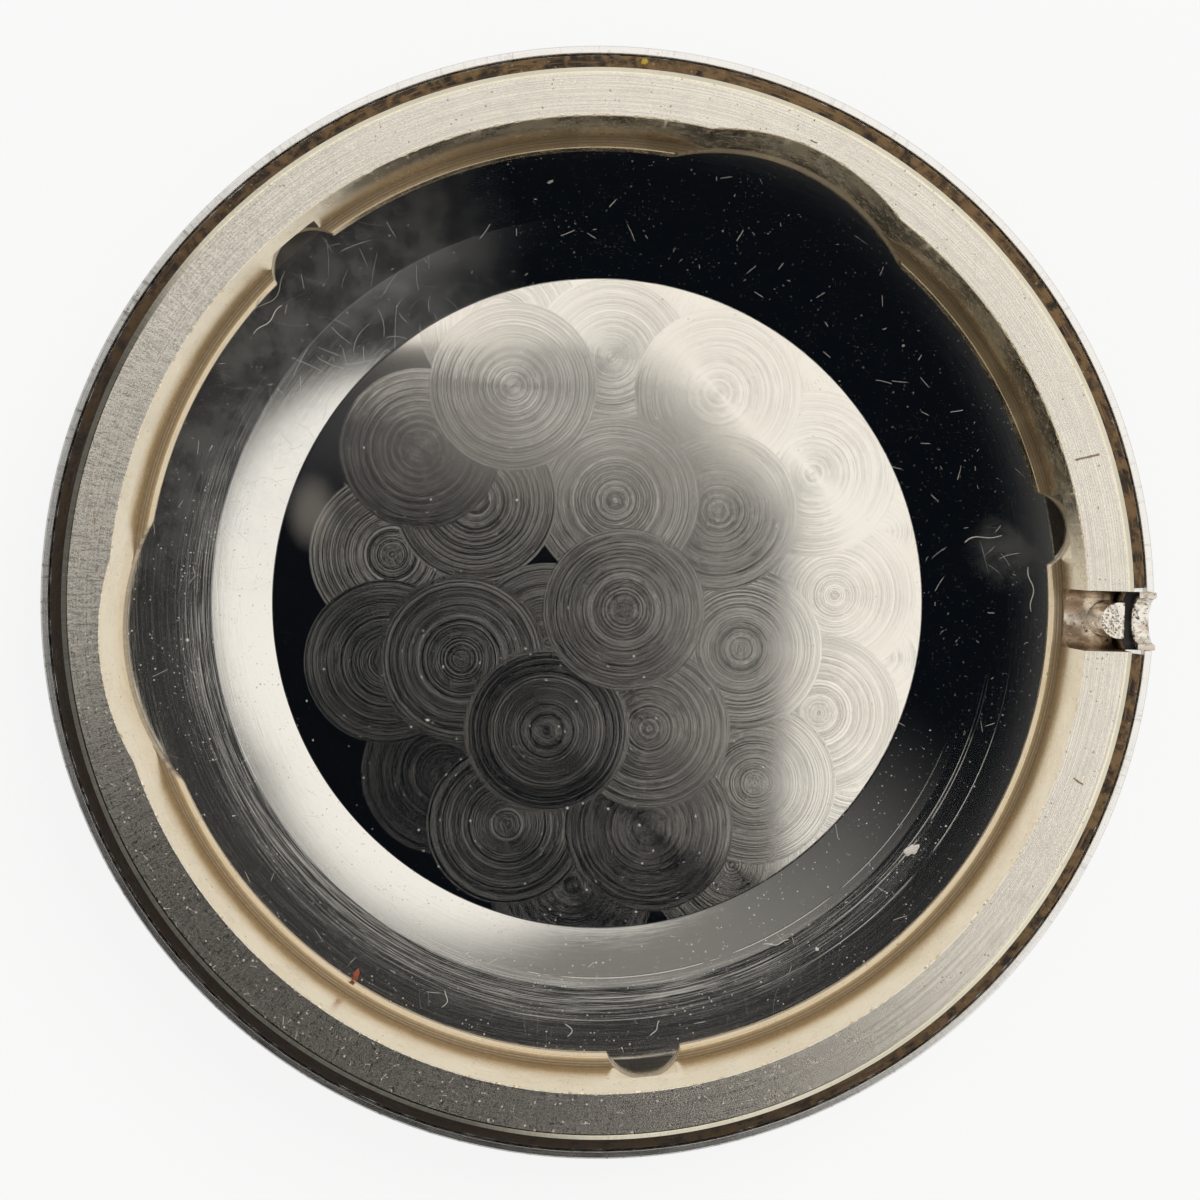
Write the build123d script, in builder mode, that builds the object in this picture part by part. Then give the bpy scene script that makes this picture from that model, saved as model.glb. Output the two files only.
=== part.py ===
from build123d import *
import math
import os

# Watch case back, seen open side up: the origin is the middle of the flat that it rests on,
# +Z points to the open side and +X runs out along the winding stem. Millimetres and degrees.

# Casing ring that carries the movement
ring_radius = 16.32
ring_height = 3.3
ring_wall = 1.49
ring_top_edge = 0.18
ring_foot_edge = 0.3
ledge_width = 0.33
ledge_height = 0.45
relief_depth = 0.05
relief_height = 0.12

# Scallops down the whole bore: direction, cutter radius and how far each cuts into the wall
scallop_directions = (66.0, 187.8)
scallop_radii = (6.7, 7.5)
scallop_reaches = (0.45, 0.34)

# Pockets cut up from the foot, through the ledge and into the wall
pocket_directions = (11.2, 131.9, 277.3)
pocket_reach = 0.46
pocket_radius = 1.27
pocket_height = 1.8

# The stem's axis is level with the lip; the ring's slot for it is round at the bottom and cut deeper
slot_radius = 0.92
stem_drop = 1.0
slot_extra = 0.75

# Pitted block in the outer end of the slot, as high as the lip and rounded at its inner end
rest_width = 1.13
rest_length = 0.72
rest_setback = 0.04

# Half-round tube stub let into the lip
tube_wall = 0.18
tube_setback = 0.3
tube_proud = 0.05

# Shell: lip, well for the ring, dished floor that runs on under the ring's wall, outer shoulder
lip_width = 0.78
lip_edge = 0.05
well_corner = 0.25
seat_reach = 0.5
floor_thickness = 0.754
dish_width = 3.95
dish_bend_share = 0.49
dish_inner_slope = 10.0
dish_outer_slope = 6.6
under_inset = 0.3
under_slope = 8.0
under_blend = 6.0
shoulder_radius = 1.6

# Sealing ring in a rebate of the lip, a little proud of it and open where the stem passes
gasket_thickness = 0.2
gasket_width = 0.46
gasket_slack = 0.13
gasket_proud = 0.03
gasket_end_gap = 0.1

# Fits between the pieces, and the overrun of every cut
ring_gap = 0.1
seat_gap = 0.02
overrun = 1.0

# Radii worked out from the ring outwards and inwards
bore_radius = ring_radius - ring_wall
ledge_radius = bore_radius - ledge_width
well_radius = ring_radius + ring_gap
lip_radius = well_radius + lip_width
seat_radius = bore_radius + seat_reach
floor_radius = ledge_radius - dish_width
bend_radius = floor_radius + dish_bend_share * dish_width
under_radius = floor_radius - under_inset
gasket_radius = ring_radius + gasket_slack
rebate_radius = gasket_radius + gasket_width + ring_gap / 2

# Levels worked out from the resting face upwards
bend_z = floor_thickness + (bend_radius - floor_radius) * math.tan(math.radians(dish_inner_slope))
seat_z = bend_z + (seat_radius - bend_radius) * math.tan(math.radians(dish_outer_slope))
foot_z = seat_z + seat_gap
ledge_z = foot_z + ledge_height
top_z = foot_z + ring_height
lip_z = top_z - stem_drop
slot_z = lip_z - slot_extra
gasket_z = lip_z + gasket_proud - gasket_thickness
rebate_z = gasket_z - seat_gap
rim_z = (lip_radius - under_radius) * math.tan(math.radians(under_slope))


def stem_plane(distance, level):
    """Plane square to the stem, at a distance from the middle, with its centre at a level."""
    return Plane(origin=(distance, 0, level), x_dir=(0, 1, 0), z_dir=(1, 0, 0))


def polar_point(distance, direction):
    """Point in plan at a distance from the middle, in a direction counted from the stem."""
    angle = math.radians(direction)
    return (distance * math.cos(angle), distance * math.sin(angle))


# The shell is turned: flat centre, two-angle dish, flat seat, well for the ring, rebated lip, shoulder
with BuildPart() as back_shell:
    with BuildSketch(Plane.XZ) as shell_profile:
        with BuildLine():
            Polyline(
                (0, 0),
                (under_radius, 0),
                (lip_radius, rim_z),
                (lip_radius, lip_z - lip_edge),
                (lip_radius - lip_edge, lip_z),
                (rebate_radius, lip_z),
                (rebate_radius, rebate_z),
                (well_radius, rebate_z),
                (well_radius, seat_z + well_corner),
                (well_radius - well_corner, seat_z),
                (seat_radius, seat_z),
                (bend_radius, bend_z),
                (floor_radius, floor_thickness),
                (0, floor_thickness),
                close=True,
            )
        make_face()
        shoulder = shell_profile.vertices().sort_by_distance((lip_radius, 0, rim_z))[0]
        fillet(shoulder, shoulder_radius)
        under_edge = shell_profile.vertices().sort_by_distance((under_radius, 0, 0))[0]
        fillet(under_edge, under_blend)
    revolve(axis=Axis.Z)
    with BuildSketch(stem_plane(ring_radius, lip_z)):
        Circle(slot_radius)
    extrude(amount=lip_radius - ring_radius + overrun, mode=Mode.SUBTRACT)
back_shell.part.label = "back_shell"

# The casing ring is turned, then scalloped, pocketed from below and slotted for the stem
with BuildPart() as movement_ring:
    with BuildSketch(Plane.XZ):
        with BuildLine():
            Polyline(
                (ledge_radius, foot_z),
                (ring_radius - ring_foot_edge, foot_z),
                (ring_radius, foot_z + ring_foot_edge),
                (ring_radius, top_z - ring_top_edge),
                (ring_radius - ring_top_edge, top_z),
                (bore_radius, top_z),
                (bore_radius, ledge_z + relief_height),
                (bore_radius + relief_depth, ledge_z + relief_height),
                (bore_radius + relief_depth, ledge_z),
                (ledge_radius, ledge_z),
                close=True,
            )
        make_face()
    revolve(axis=Axis.Z)
    for direction, cutter, reach in zip(scallop_directions, scallop_radii, scallop_reaches):
        with BuildSketch(Plane.XY.offset(foot_z)):
            with Locations(polar_point(bore_radius + reach - cutter, direction)):
                Circle(cutter)
        extrude(amount=ring_height, mode=Mode.SUBTRACT)
    for direction in pocket_directions:
        with BuildSketch(Plane.XY.offset(foot_z)):
            with Locations(polar_point(bore_radius + pocket_reach - pocket_radius, direction)):
                Circle(pocket_radius)
        extrude(amount=pocket_height, mode=Mode.SUBTRACT)
    slot_depth = stem_drop + slot_extra + overrun
    with BuildSketch(stem_plane(ledge_radius, slot_z)):
        Circle(slot_radius)
        with Locations((0, slot_depth / 2)):
            Rectangle(2 * slot_radius, slot_depth)
    extrude(amount=ring_radius - ledge_radius + overrun, mode=Mode.SUBTRACT)
movement_ring.part.label = "movement_ring"

# The stem rest stands on the slot's round bottom, trimmed in plan to a D with its round end inwards
rest_outer = ring_radius - rest_setback
rest_inner = rest_outer - rest_length
rest_round = rest_width / 2
with BuildPart() as stem_rest:
    with BuildSketch(stem_plane(rest_inner, slot_z)):
        Circle(slot_radius - seat_gap)
        with Locations((0, slot_extra / 2)):
            Rectangle(rest_width, slot_extra)
        with Locations((0, slot_extra + slot_radius)):
            Rectangle(2 * slot_radius, 2 * slot_radius, mode=Mode.SUBTRACT)
    extrude(amount=rest_length)
    with BuildSketch(Plane.XY.offset(slot_z - slot_radius)):
        with Locations((rest_inner + rest_round, 0)):
            Circle(rest_round)
        with Locations(((rest_inner + rest_round + rest_outer) / 2, 0)):
            Rectangle(rest_length - rest_round, rest_width)
    extrude(amount=slot_radius + slot_extra, mode=Mode.INTERSECT)
stem_rest.part.label = "stem_rest"

# The tube stub is the lower half of a tube, ending just outside the lip
tube_radius = slot_radius - seat_gap
tube_start = well_radius + tube_setback
with BuildPart() as stem_tube_half:
    with BuildSketch(stem_plane(tube_start, lip_z)):
        Circle(tube_radius)
        Circle(tube_radius - tube_wall, mode=Mode.SUBTRACT)
        with Locations((0, tube_radius / 2)):
            Rectangle(2 * tube_radius, tube_radius, mode=Mode.SUBTRACT)
    extrude(amount=lip_radius + tube_proud - tube_start)
stem_tube_half.part.label = "stem_tube_half"

# The sealing ring is a flat washer in the lip's rebate, with the stem's way cut out of it
with BuildPart() as sealing_gasket:
    with BuildSketch(Plane.XY.offset(gasket_z)):
        Circle(gasket_radius + gasket_width)
        Circle(gasket_radius, mode=Mode.SUBTRACT)
        with Locations((gasket_radius, 0)):
            Rectangle(2 * (gasket_width + overrun), 2 * (slot_radius + gasket_end_gap), mode=Mode.SUBTRACT)
    extrude(amount=gasket_thickness)
sealing_gasket.part.label = "sealing_gasket"

os.makedirs("parts", exist_ok=True)
export_step(back_shell.part, "parts/back_shell.step")
export_step(movement_ring.part, "parts/movement_ring.step")
export_step(stem_rest.part, "parts/stem_rest.step")
export_step(stem_tube_half.part, "parts/stem_tube_half.step")
export_step(sealing_gasket.part, "parts/sealing_gasket.step")

# The levels and radii that the mounts and joints are stated at
print(f"levels: seat {seat_z:.4f}, foot {foot_z:.4f}, ledge {ledge_z:.4f}, lip {lip_z:.4f}, top {top_z:.4f}")
print(f"radii: bore {bore_radius:.3f}, ledge {ledge_radius:.3f}, rebate {rebate_radius:.3f}, lip {lip_radius:.3f}")
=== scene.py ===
"""Looks of a watch case back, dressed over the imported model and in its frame.

Lengths in the classes are millimetres and angles degrees, unless a name says otherwise. The origin is
the middle of the flat that the back rests on, +Z points to the open side and +X runs out along the
winding stem.
"""

import logging
import math
from dataclasses import dataclass, field
from enum import Enum, IntEnum
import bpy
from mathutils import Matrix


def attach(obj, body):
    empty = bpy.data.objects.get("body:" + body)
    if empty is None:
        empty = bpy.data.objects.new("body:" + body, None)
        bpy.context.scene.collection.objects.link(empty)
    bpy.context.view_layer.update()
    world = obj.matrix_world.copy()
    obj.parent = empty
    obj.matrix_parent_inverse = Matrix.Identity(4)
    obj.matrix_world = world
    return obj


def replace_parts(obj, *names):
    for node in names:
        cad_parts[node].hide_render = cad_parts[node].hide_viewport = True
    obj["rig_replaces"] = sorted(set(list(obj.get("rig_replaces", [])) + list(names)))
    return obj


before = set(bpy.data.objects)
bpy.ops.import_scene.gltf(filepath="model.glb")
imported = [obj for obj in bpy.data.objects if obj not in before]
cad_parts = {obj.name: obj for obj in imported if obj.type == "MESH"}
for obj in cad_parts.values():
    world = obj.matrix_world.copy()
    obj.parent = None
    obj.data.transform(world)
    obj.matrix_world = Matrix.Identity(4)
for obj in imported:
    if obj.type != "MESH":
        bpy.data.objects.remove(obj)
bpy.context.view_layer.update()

from types import SimpleNamespace
from typing import Any, Union

import bmesh
import bpy
import numpy as np
from mathutils import Matrix, Vector

MM = 0.001
PHOTO_PIXELS = 1200
SHARP_ANGLE = 14.0
WELD_METRES = 2e-7
TINY = 1e-6
FLAKE_POINTS = 18
FIBRE_ROWS = 36
FIBRE_SIDES = 6
FIBRE_THICKNESS = 0.011
FIBRE_LIFT = 0.012
WARM_WHITE = (1.0, 0.975, 0.93)
log = logging.getLogger("case_back")

Socket = bpy.types.NodeSocket
Node = bpy.types.Node
Tree = bpy.types.NodeTree
Material = bpy.types.Material
Piece = bpy.types.Object
Value = Union["Signal", Socket, float, tuple]
Triple = tuple[float, float, float]
Colour = Triple


# Meshes


def rounded_profile(corners: Any, radii: Any, steps: int = 8, support: float = 0.02) -> np.ndarray:
    """Open profile with an arc at each corner and a support point on both sides of the arc.

    At a corner with half angle h, the arc of radius r starts r / tan(h) away and its centre lies
    r / sin(h) along the bisector. The arc's points turn evenly from its start to its end.

    Args:
        corners: The profile's corners, radius and height.
        radii: One arc radius for each corner; those of the two ends aren't used.
        steps: How many chords each arc has.
        support: Distance of the support points, which keep the shading of long faces true.

    Returns:
        The points of the profile, one row each.
    """
    corner = np.asarray(corners, float)
    radius = np.asarray(radii, float)[1:-1, None]
    before, after = corner[:-2] - corner[1:-1], corner[2:] - corner[1:-1]
    long_before = np.linalg.norm(before, axis=1, keepdims=True)
    long_after = np.linalg.norm(after, axis=1, keepdims=True)
    before, after = before / long_before, after / long_after
    half = 0.5 * np.arccos(np.clip((before * after).sum(1, keepdims=True), -1, 1))
    reach = radius / np.tan(half)
    middle = before + after
    middle = middle / np.maximum(np.linalg.norm(middle, axis=1, keepdims=True), 1e-9)
    centre = corner[1:-1] + middle * radius / np.sin(half)
    start, end = corner[1:-1] + before * reach - centre, corner[1:-1] + after * reach - centre
    sweep = np.maximum(np.pi - 2 * half, TINY)[:, None]
    share = np.linspace(0, 1, steps + 1)[None, :, None]
    turned = start[:, None] * np.sin((1 - share) * sweep) + end[:, None] * np.sin(share * sweep)
    arc = centre[:, None] + turned / np.sin(sweep)
    lead = corner[1:-1] + before * np.minimum(reach + support, 0.45 * long_before)
    trail = corner[1:-1] + after * np.minimum(reach + support, 0.45 * long_after)
    bent = np.concatenate([lead[:, None], arc, trail[:, None]], axis=1).reshape(-1, 2)
    points = np.concatenate([corner[:1], bent, corner[-1:]])
    return points[np.r_[True, np.linalg.norm(np.diff(points, axis=0), axis=1) > TINY]]


def grid_faces(rows: int, columns: int, closed_rows: bool = False, closed_columns: bool = True) -> np.ndarray:
    """Four corners of every face of a grid whose vertices are numbered row by row.

    Args:
        rows: How many rows of vertices there are.
        columns: How many vertices a row has.
        closed_rows: Whether the last row joins the first.
        closed_columns: Whether each row closes on itself.

    Returns:
        An array of vertex numbers, four for each face.
    """
    row, column = np.meshgrid(
        np.arange(rows - (not closed_rows)), np.arange(columns - (not closed_columns)), indexing="ij"
    )
    here, below = row * columns, (row + 1) % rows * columns
    beside = (column + 1) % columns
    return np.stack([here + column, below + column, below + beside, here + beside], -1).reshape(-1, 4)


def capped_faces(rows: int, columns: int) -> list:
    """Faces of a tube whose rows are closed loops, with one face over its first row and one over its last."""
    ends = [list(range(columns)), list(range((rows - 1) * columns, rows * columns))[::-1]]
    return grid_faces(rows, columns).tolist() + ends


def wave_field(points: np.ndarray, pitch: float, count: int, seed: int) -> np.ndarray:
    """Uneven field from -1 to 1: the mean of plane waves in random directions, each with its own phase.

    Args:
        points: Places, one in each row.
        pitch: Wavelength of the waves, give or take a half.
        count: How many waves are added.
        seed: Start of the random draw.

    Returns:
        One value for each place.
    """
    draw = np.random.default_rng(seed)
    direction = draw.normal(size=(points.shape[-1], count))
    direction *= 2 * np.pi / (pitch * draw.uniform(0.6, 1.6, count)) / np.linalg.norm(direction, axis=0)
    waves = np.sin(points @ direction + draw.uniform(0, 2 * np.pi, count))
    return np.clip(waves.sum(-1) / np.sqrt(count), -1.6, 1.6)


def pit_field(points: np.ndarray, places: np.ndarray, widths: np.ndarray) -> np.ndarray:
    """Depth share from 0 to 1 of round pits: the deepest of the bells that stand at the pits' places.

    Args:
        points: Places on the surface, one in each row.
        places: Middles of the pits, one in each row.
        widths: Width of each pit.

    Returns:
        One share for each place.
    """
    gap = ((points[:, None, :] - places[None]) ** 2).sum(-1)
    return np.exp(-gap / widths[None] ** 2).max(1)


def put_in_scene(name: str, data: bpy.types.ID) -> Piece:
    """New object in the scene.

    Args:
        name: The object's name.
        data: Its mesh, camera or light.

    Returns:
        The object.
    """
    thing = bpy.data.objects.new(name, data)
    bpy.context.scene.collection.objects.link(thing)
    return thing


def make_piece(
    name: str, points: np.ndarray, faces: Any, body: str, finishes: list[Material],
    indices: Any = None, sharp: float = SHARP_ANGLE,
) -> Piece:
    """Object at the origin from points in millimetres, welded, outward facing, smooth but for its edges.

    Args:
        name: The piece's name.
        points: Vertices, one in each row, in millimetres.
        faces: Vertex numbers of each face.
        body: The CAD body that the piece rides on.
        finishes: Its materials in order.
        indices: Which of the materials each face has, or none where there is only one.
        sharp: Edges that turn more than this many degrees stay sharp.

    Returns:
        The new object.
    """
    mesh = bpy.data.meshes.new(name)
    rows = faces.tolist() if isinstance(faces, np.ndarray) else faces
    mesh.from_pydata((np.asarray(points, float).reshape(-1, 3) * MM).tolist(), [], rows)
    if indices is not None:
        mesh.polygons.foreach_set("material_index", np.asarray(indices, np.int32))
    shape = bmesh.new()
    shape.from_mesh(mesh)
    bmesh.ops.remove_doubles(shape, verts=shape.verts, dist=WELD_METRES)
    bmesh.ops.dissolve_degenerate(shape, edges=shape.edges, dist=WELD_METRES)
    bmesh.ops.recalc_face_normals(shape, faces=shape.faces)
    shape.to_mesh(mesh)
    shape.free()
    mesh.polygons.foreach_set("use_smooth", np.ones(len(mesh.polygons), bool))
    mesh.set_sharp_from_angle(angle=math.radians(sharp))
    mesh.update()
    for finish in finishes:
        mesh.materials.append(finish)
    piece = put_in_scene(name, mesh)
    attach(piece, body)
    log.info("piece %s: %d faces, rides on %s", name, len(mesh.polygons), body)
    return piece


# Nodes


@dataclass(frozen=True)
class Signal:
    """A number or vector that varies over the surface. Each operator adds one node to its graph."""

    graph: "Graph"
    socket: Socket
    vector: bool = False

    def math(self, operation: str, *values: Value) -> "Signal":
        """Result of one Math or Vector Math node on the values, or on this alone."""
        return self.graph.math(operation, *(values or (self,)), vector=self.vector)

    def __add__(self, other: Value) -> "Signal":
        """Sum."""
        return self.math("ADD", self, other)

    def __sub__(self, other: Value) -> "Signal":
        """Difference."""
        return self.math("SUBTRACT", self, other)

    def __rsub__(self, other: Value) -> "Signal":
        """What this leaves of another."""
        return self.math("SUBTRACT", other, self)

    def __mul__(self, other: Value) -> "Signal":
        """Product."""
        return self.math("MULTIPLY", self, other)

    def __or__(self, other: Value) -> "Signal":
        """The larger of two, which lays one mask over another."""
        return self.math("MAXIMUM", self, other)

    def __ror__(self, other: Value) -> "Signal":
        """The larger of a plain number and this."""
        return self.math("MAXIMUM", other, self)

    def __lt__(self, other: Value) -> "Signal":
        """One where this is less, and nought elsewhere."""
        return self.math("LESS_THAN", self, other)

    def __abs__(self) -> "Signal":
        """This without its sign."""
        return self.math("ABSOLUTE")

    def fit(self, scale: Value, offset: Value) -> "Signal":
        """This times a scale, plus an offset."""
        return self.math("MULTIPLY_ADD", self, scale, offset)

    def step(self, low: Value, high: Value, first: float = 0.0, last: float = 1.0) -> "Signal":
        """Smooth step from first to last as this goes from low to high."""
        settings = {"Value": self, "From Min": low, "From Max": high, "To Min": first, "To Max": last}
        return self.graph.out("ShaderNodeMapRange", settings, interpolation_type="SMOOTHSTEP")

    def clamped(self) -> "Signal":
        """The same, kept from 0 to 1 by its own node."""
        self.socket.node.use_clamp = True
        return self

    def twin(self, name: str) -> "Signal":
        """Another output of the same node."""
        return Signal(self.graph, self.socket.node.outputs[name])

    def scaled(self, scale: Value) -> "Signal":
        """A vector times a number."""
        return self.graph.out("ShaderNodeVectorMath", {0: self, "Scale": scale}, vector=True, operation="SCALE")

    def unit(self) -> "Signal":
        """A vector brought to length one."""
        return self.math("NORMALIZE")

    def length(self) -> "Signal":
        """Length of a vector."""
        return self.math("LENGTH")

    def dot(self, other: Value) -> "Signal":
        """Dot product of two vectors."""
        return self.math("DOT_PRODUCT", self, other)

    def parts(self) -> list["Signal"]:
        """The three parts of a vector."""
        return [Signal(self.graph, part) for part in self.graph.add("ShaderNodeSeparateXYZ", {0: self}).outputs]


class Graph:
    """A node tree with short calls for the nodes that this object's finishes use."""

    def __init__(self, tree: Tree, place: Union[Socket, None] = None) -> None:
        """Keeps the tree that the nodes go into, and the place on the object in metres."""
        self.tree = tree
        self.place = Signal(self, place, True)

    def add(self, kind: str, inputs: Union[dict, None] = None, **settings: Any) -> Node:
        """New node.

        Args:
            kind: Blender's name for the type of node.
            inputs: What goes into its sockets, by their name or number.
            **settings: Properties of the node.

        Returns:
            The node.
        """
        node = self.tree.nodes.new(kind)
        for key, value in settings.items():
            setattr(node, key, value)
        for key, value in (inputs or {}).items():
            self.feed(value, node.inputs[key])
        return node

    def feed(self, value: Value, socket: Socket) -> None:
        """Links an output to a socket, or sets the socket to a plain value.

        Args:
            value: An output, or a number, vector or colour.
            socket: The input that takes it.
        """
        value = value.socket if isinstance(value, Signal) else value
        if isinstance(value, Socket):
            self.tree.links.new(value, socket)
        elif isinstance(value, tuple) and len(value) == 3 and socket.type == "RGBA":
            socket.default_value = (*value, 1.0)
        else:
            socket.default_value = value

    def out(
        self, kind: str, inputs: dict, output: Union[int, str] = 0, vector: bool = False, **settings: Any
    ) -> Signal:
        """One output of a new node, whose kind, inputs and settings are as in add()."""
        return Signal(self, self.add(kind, inputs, **settings).outputs[output], vector)

    def math(self, operation: str, *values: Value, vector: bool = False) -> Signal:
        """Result of one Math node, or of one Vector Math node, whose second output is a number.

        Args:
            operation: Blender's name for what the node does.
            *values: What goes into its inputs, in order.
            vector: Whether it is a Vector Math node.

        Returns:
            The number or vector.
        """
        kind = "ShaderNodeVectorMath" if vector else "ShaderNodeMath"
        number = operation in ("LENGTH", "DOT_PRODUCT")
        return self.out(kind, dict(enumerate(values)), int(number), vector and not number, operation=operation)

    def joined(self, x: Value, y: Value, z: Value = 0.0) -> Signal:
        """A vector from three parts."""
        return self.out("ShaderNodeCombineXYZ", {0: x, 1: y, 2: z}, vector=True)

    def spot(self) -> tuple[Signal, Signal, Signal, Signal]:
        """The place's three parts in millimetres, and the place in plan."""
        x, y, z = self.place.scaled(1.0 / MM).parts()
        return x, y, z, self.joined(x, y)

    def mix(self, share: Value, first: Value, second: Value, way: str = "MIX") -> Signal:
        """Colour between two colours."""
        return self.out("ShaderNodeMix", {0: share, 6: first, 7: second}, 2, data_type="RGBA", blend_type=way)

    def blend(self, share: Value, first: Value, second: Value) -> Signal:
        """Number between two numbers."""
        return self.out("ShaderNodeMix", {0: share, 2: first, 3: second}, data_type="FLOAT")

    def pick(self, share: Value, first: Value, second: Value) -> Signal:
        """Vector between two vectors."""
        return self.out("ShaderNodeMix", {0: share, 4: first, 5: second}, 1, True, data_type="VECTOR")

    def noise(self, vector: Value, scale: float = 1.0, detail: float = 2.0, roughness: float = 0.5) -> Signal:
        """Noise from about 0.2 to 0.8."""
        settings = {"Vector": vector, "Scale": scale, "Detail": detail, "Roughness": roughness}
        return self.out("ShaderNodeTexNoise", settings, noise_dimensions="3D")

    def cells(self, vector: Value, dimensions: str) -> tuple[Signal, Signal, Signal]:
        """Distance from the nearest cell's middle, that middle, and the cell's three random numbers.

        Args:
            vector: Where the Voronoi pattern is read.
            dimensions: 2D or 3D.

        Returns:
            The three outputs.
        """
        settings = {"Vector": vector, "Scale": 1.0}
        cell = self.add("ShaderNodeTexVoronoi", settings, voronoi_dimensions=dimensions, feature="F1")
        middle, chance = (Signal(self, cell.outputs[name], True) for name in ("Position", "Color"))
        return Signal(self, cell.outputs["Distance"]), middle, chance

    def bump(self, height: Value, distance: float, normal: Union[Signal, None] = None) -> Signal:
        """Normal tilted by a height from 0 to 1 that stands for the distance in millimetres.

        Args:
            height: The height.
            distance: What a height of one stands for.
            normal: A normal that is already tilted, if there is one.

        Returns:
            The normal.
        """
        settings = {"Height": height, "Strength": 1.0, "Distance": distance * MM}
        if normal is not None:
            settings["Normal"] = normal
        return self.out("ShaderNodeBump", settings, vector=True)

    def show(self, shader: Node, kind: str = "ShaderNodeOutputMaterial") -> None:
        """Output node that shows a shader."""
        self.feed(shader.outputs[0], self.add(kind).inputs["Surface"])


def bare_tree(owner: Union[Material, bpy.types.World]) -> Tree:
    """The emptied node tree of a material or world.

    Args:
        owner: The material or world.

    Returns:
        Its tree.
    """
    owner.use_nodes = True
    owner.node_tree.nodes.clear()
    return owner.node_tree


class Group(Graph):
    """Shader node group with a place in metres and further numbers going in, its given values."""

    def __init__(self, name: str, **given: float) -> None:
        """New group whose inputs have these names, with a capital, and these defaults.

        Args:
            name: The group's name.
            **given: Name and default of each number that goes in.
        """
        tree = bpy.data.node_groups.new(name, "ShaderNodeTree")
        tree.interface.new_socket("Place", in_out="INPUT", socket_type="NodeSocketVector")
        for key, value in given.items():
            socket = tree.interface.new_socket(key.title(), in_out="INPUT", socket_type="NodeSocketFloat")
            socket.default_value = value
        sockets = tree.nodes.new("NodeGroupInput").outputs
        super().__init__(tree, sockets["Place"])
        self.given = SimpleNamespace(**{key: Signal(self, sockets[key.title()]) for key in given})

    def close(self, **outputs: Signal) -> Tree:
        """The finished group, with these outputs.

        Args:
            **outputs: Name of each output and what it gives.

        Returns:
            The group's tree.
        """
        for name in outputs:
            self.tree.interface.new_socket(name, in_out="OUTPUT", socket_type="NodeSocketFloat")
        self.add("NodeGroupOutput", outputs)
        return self.tree


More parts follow.
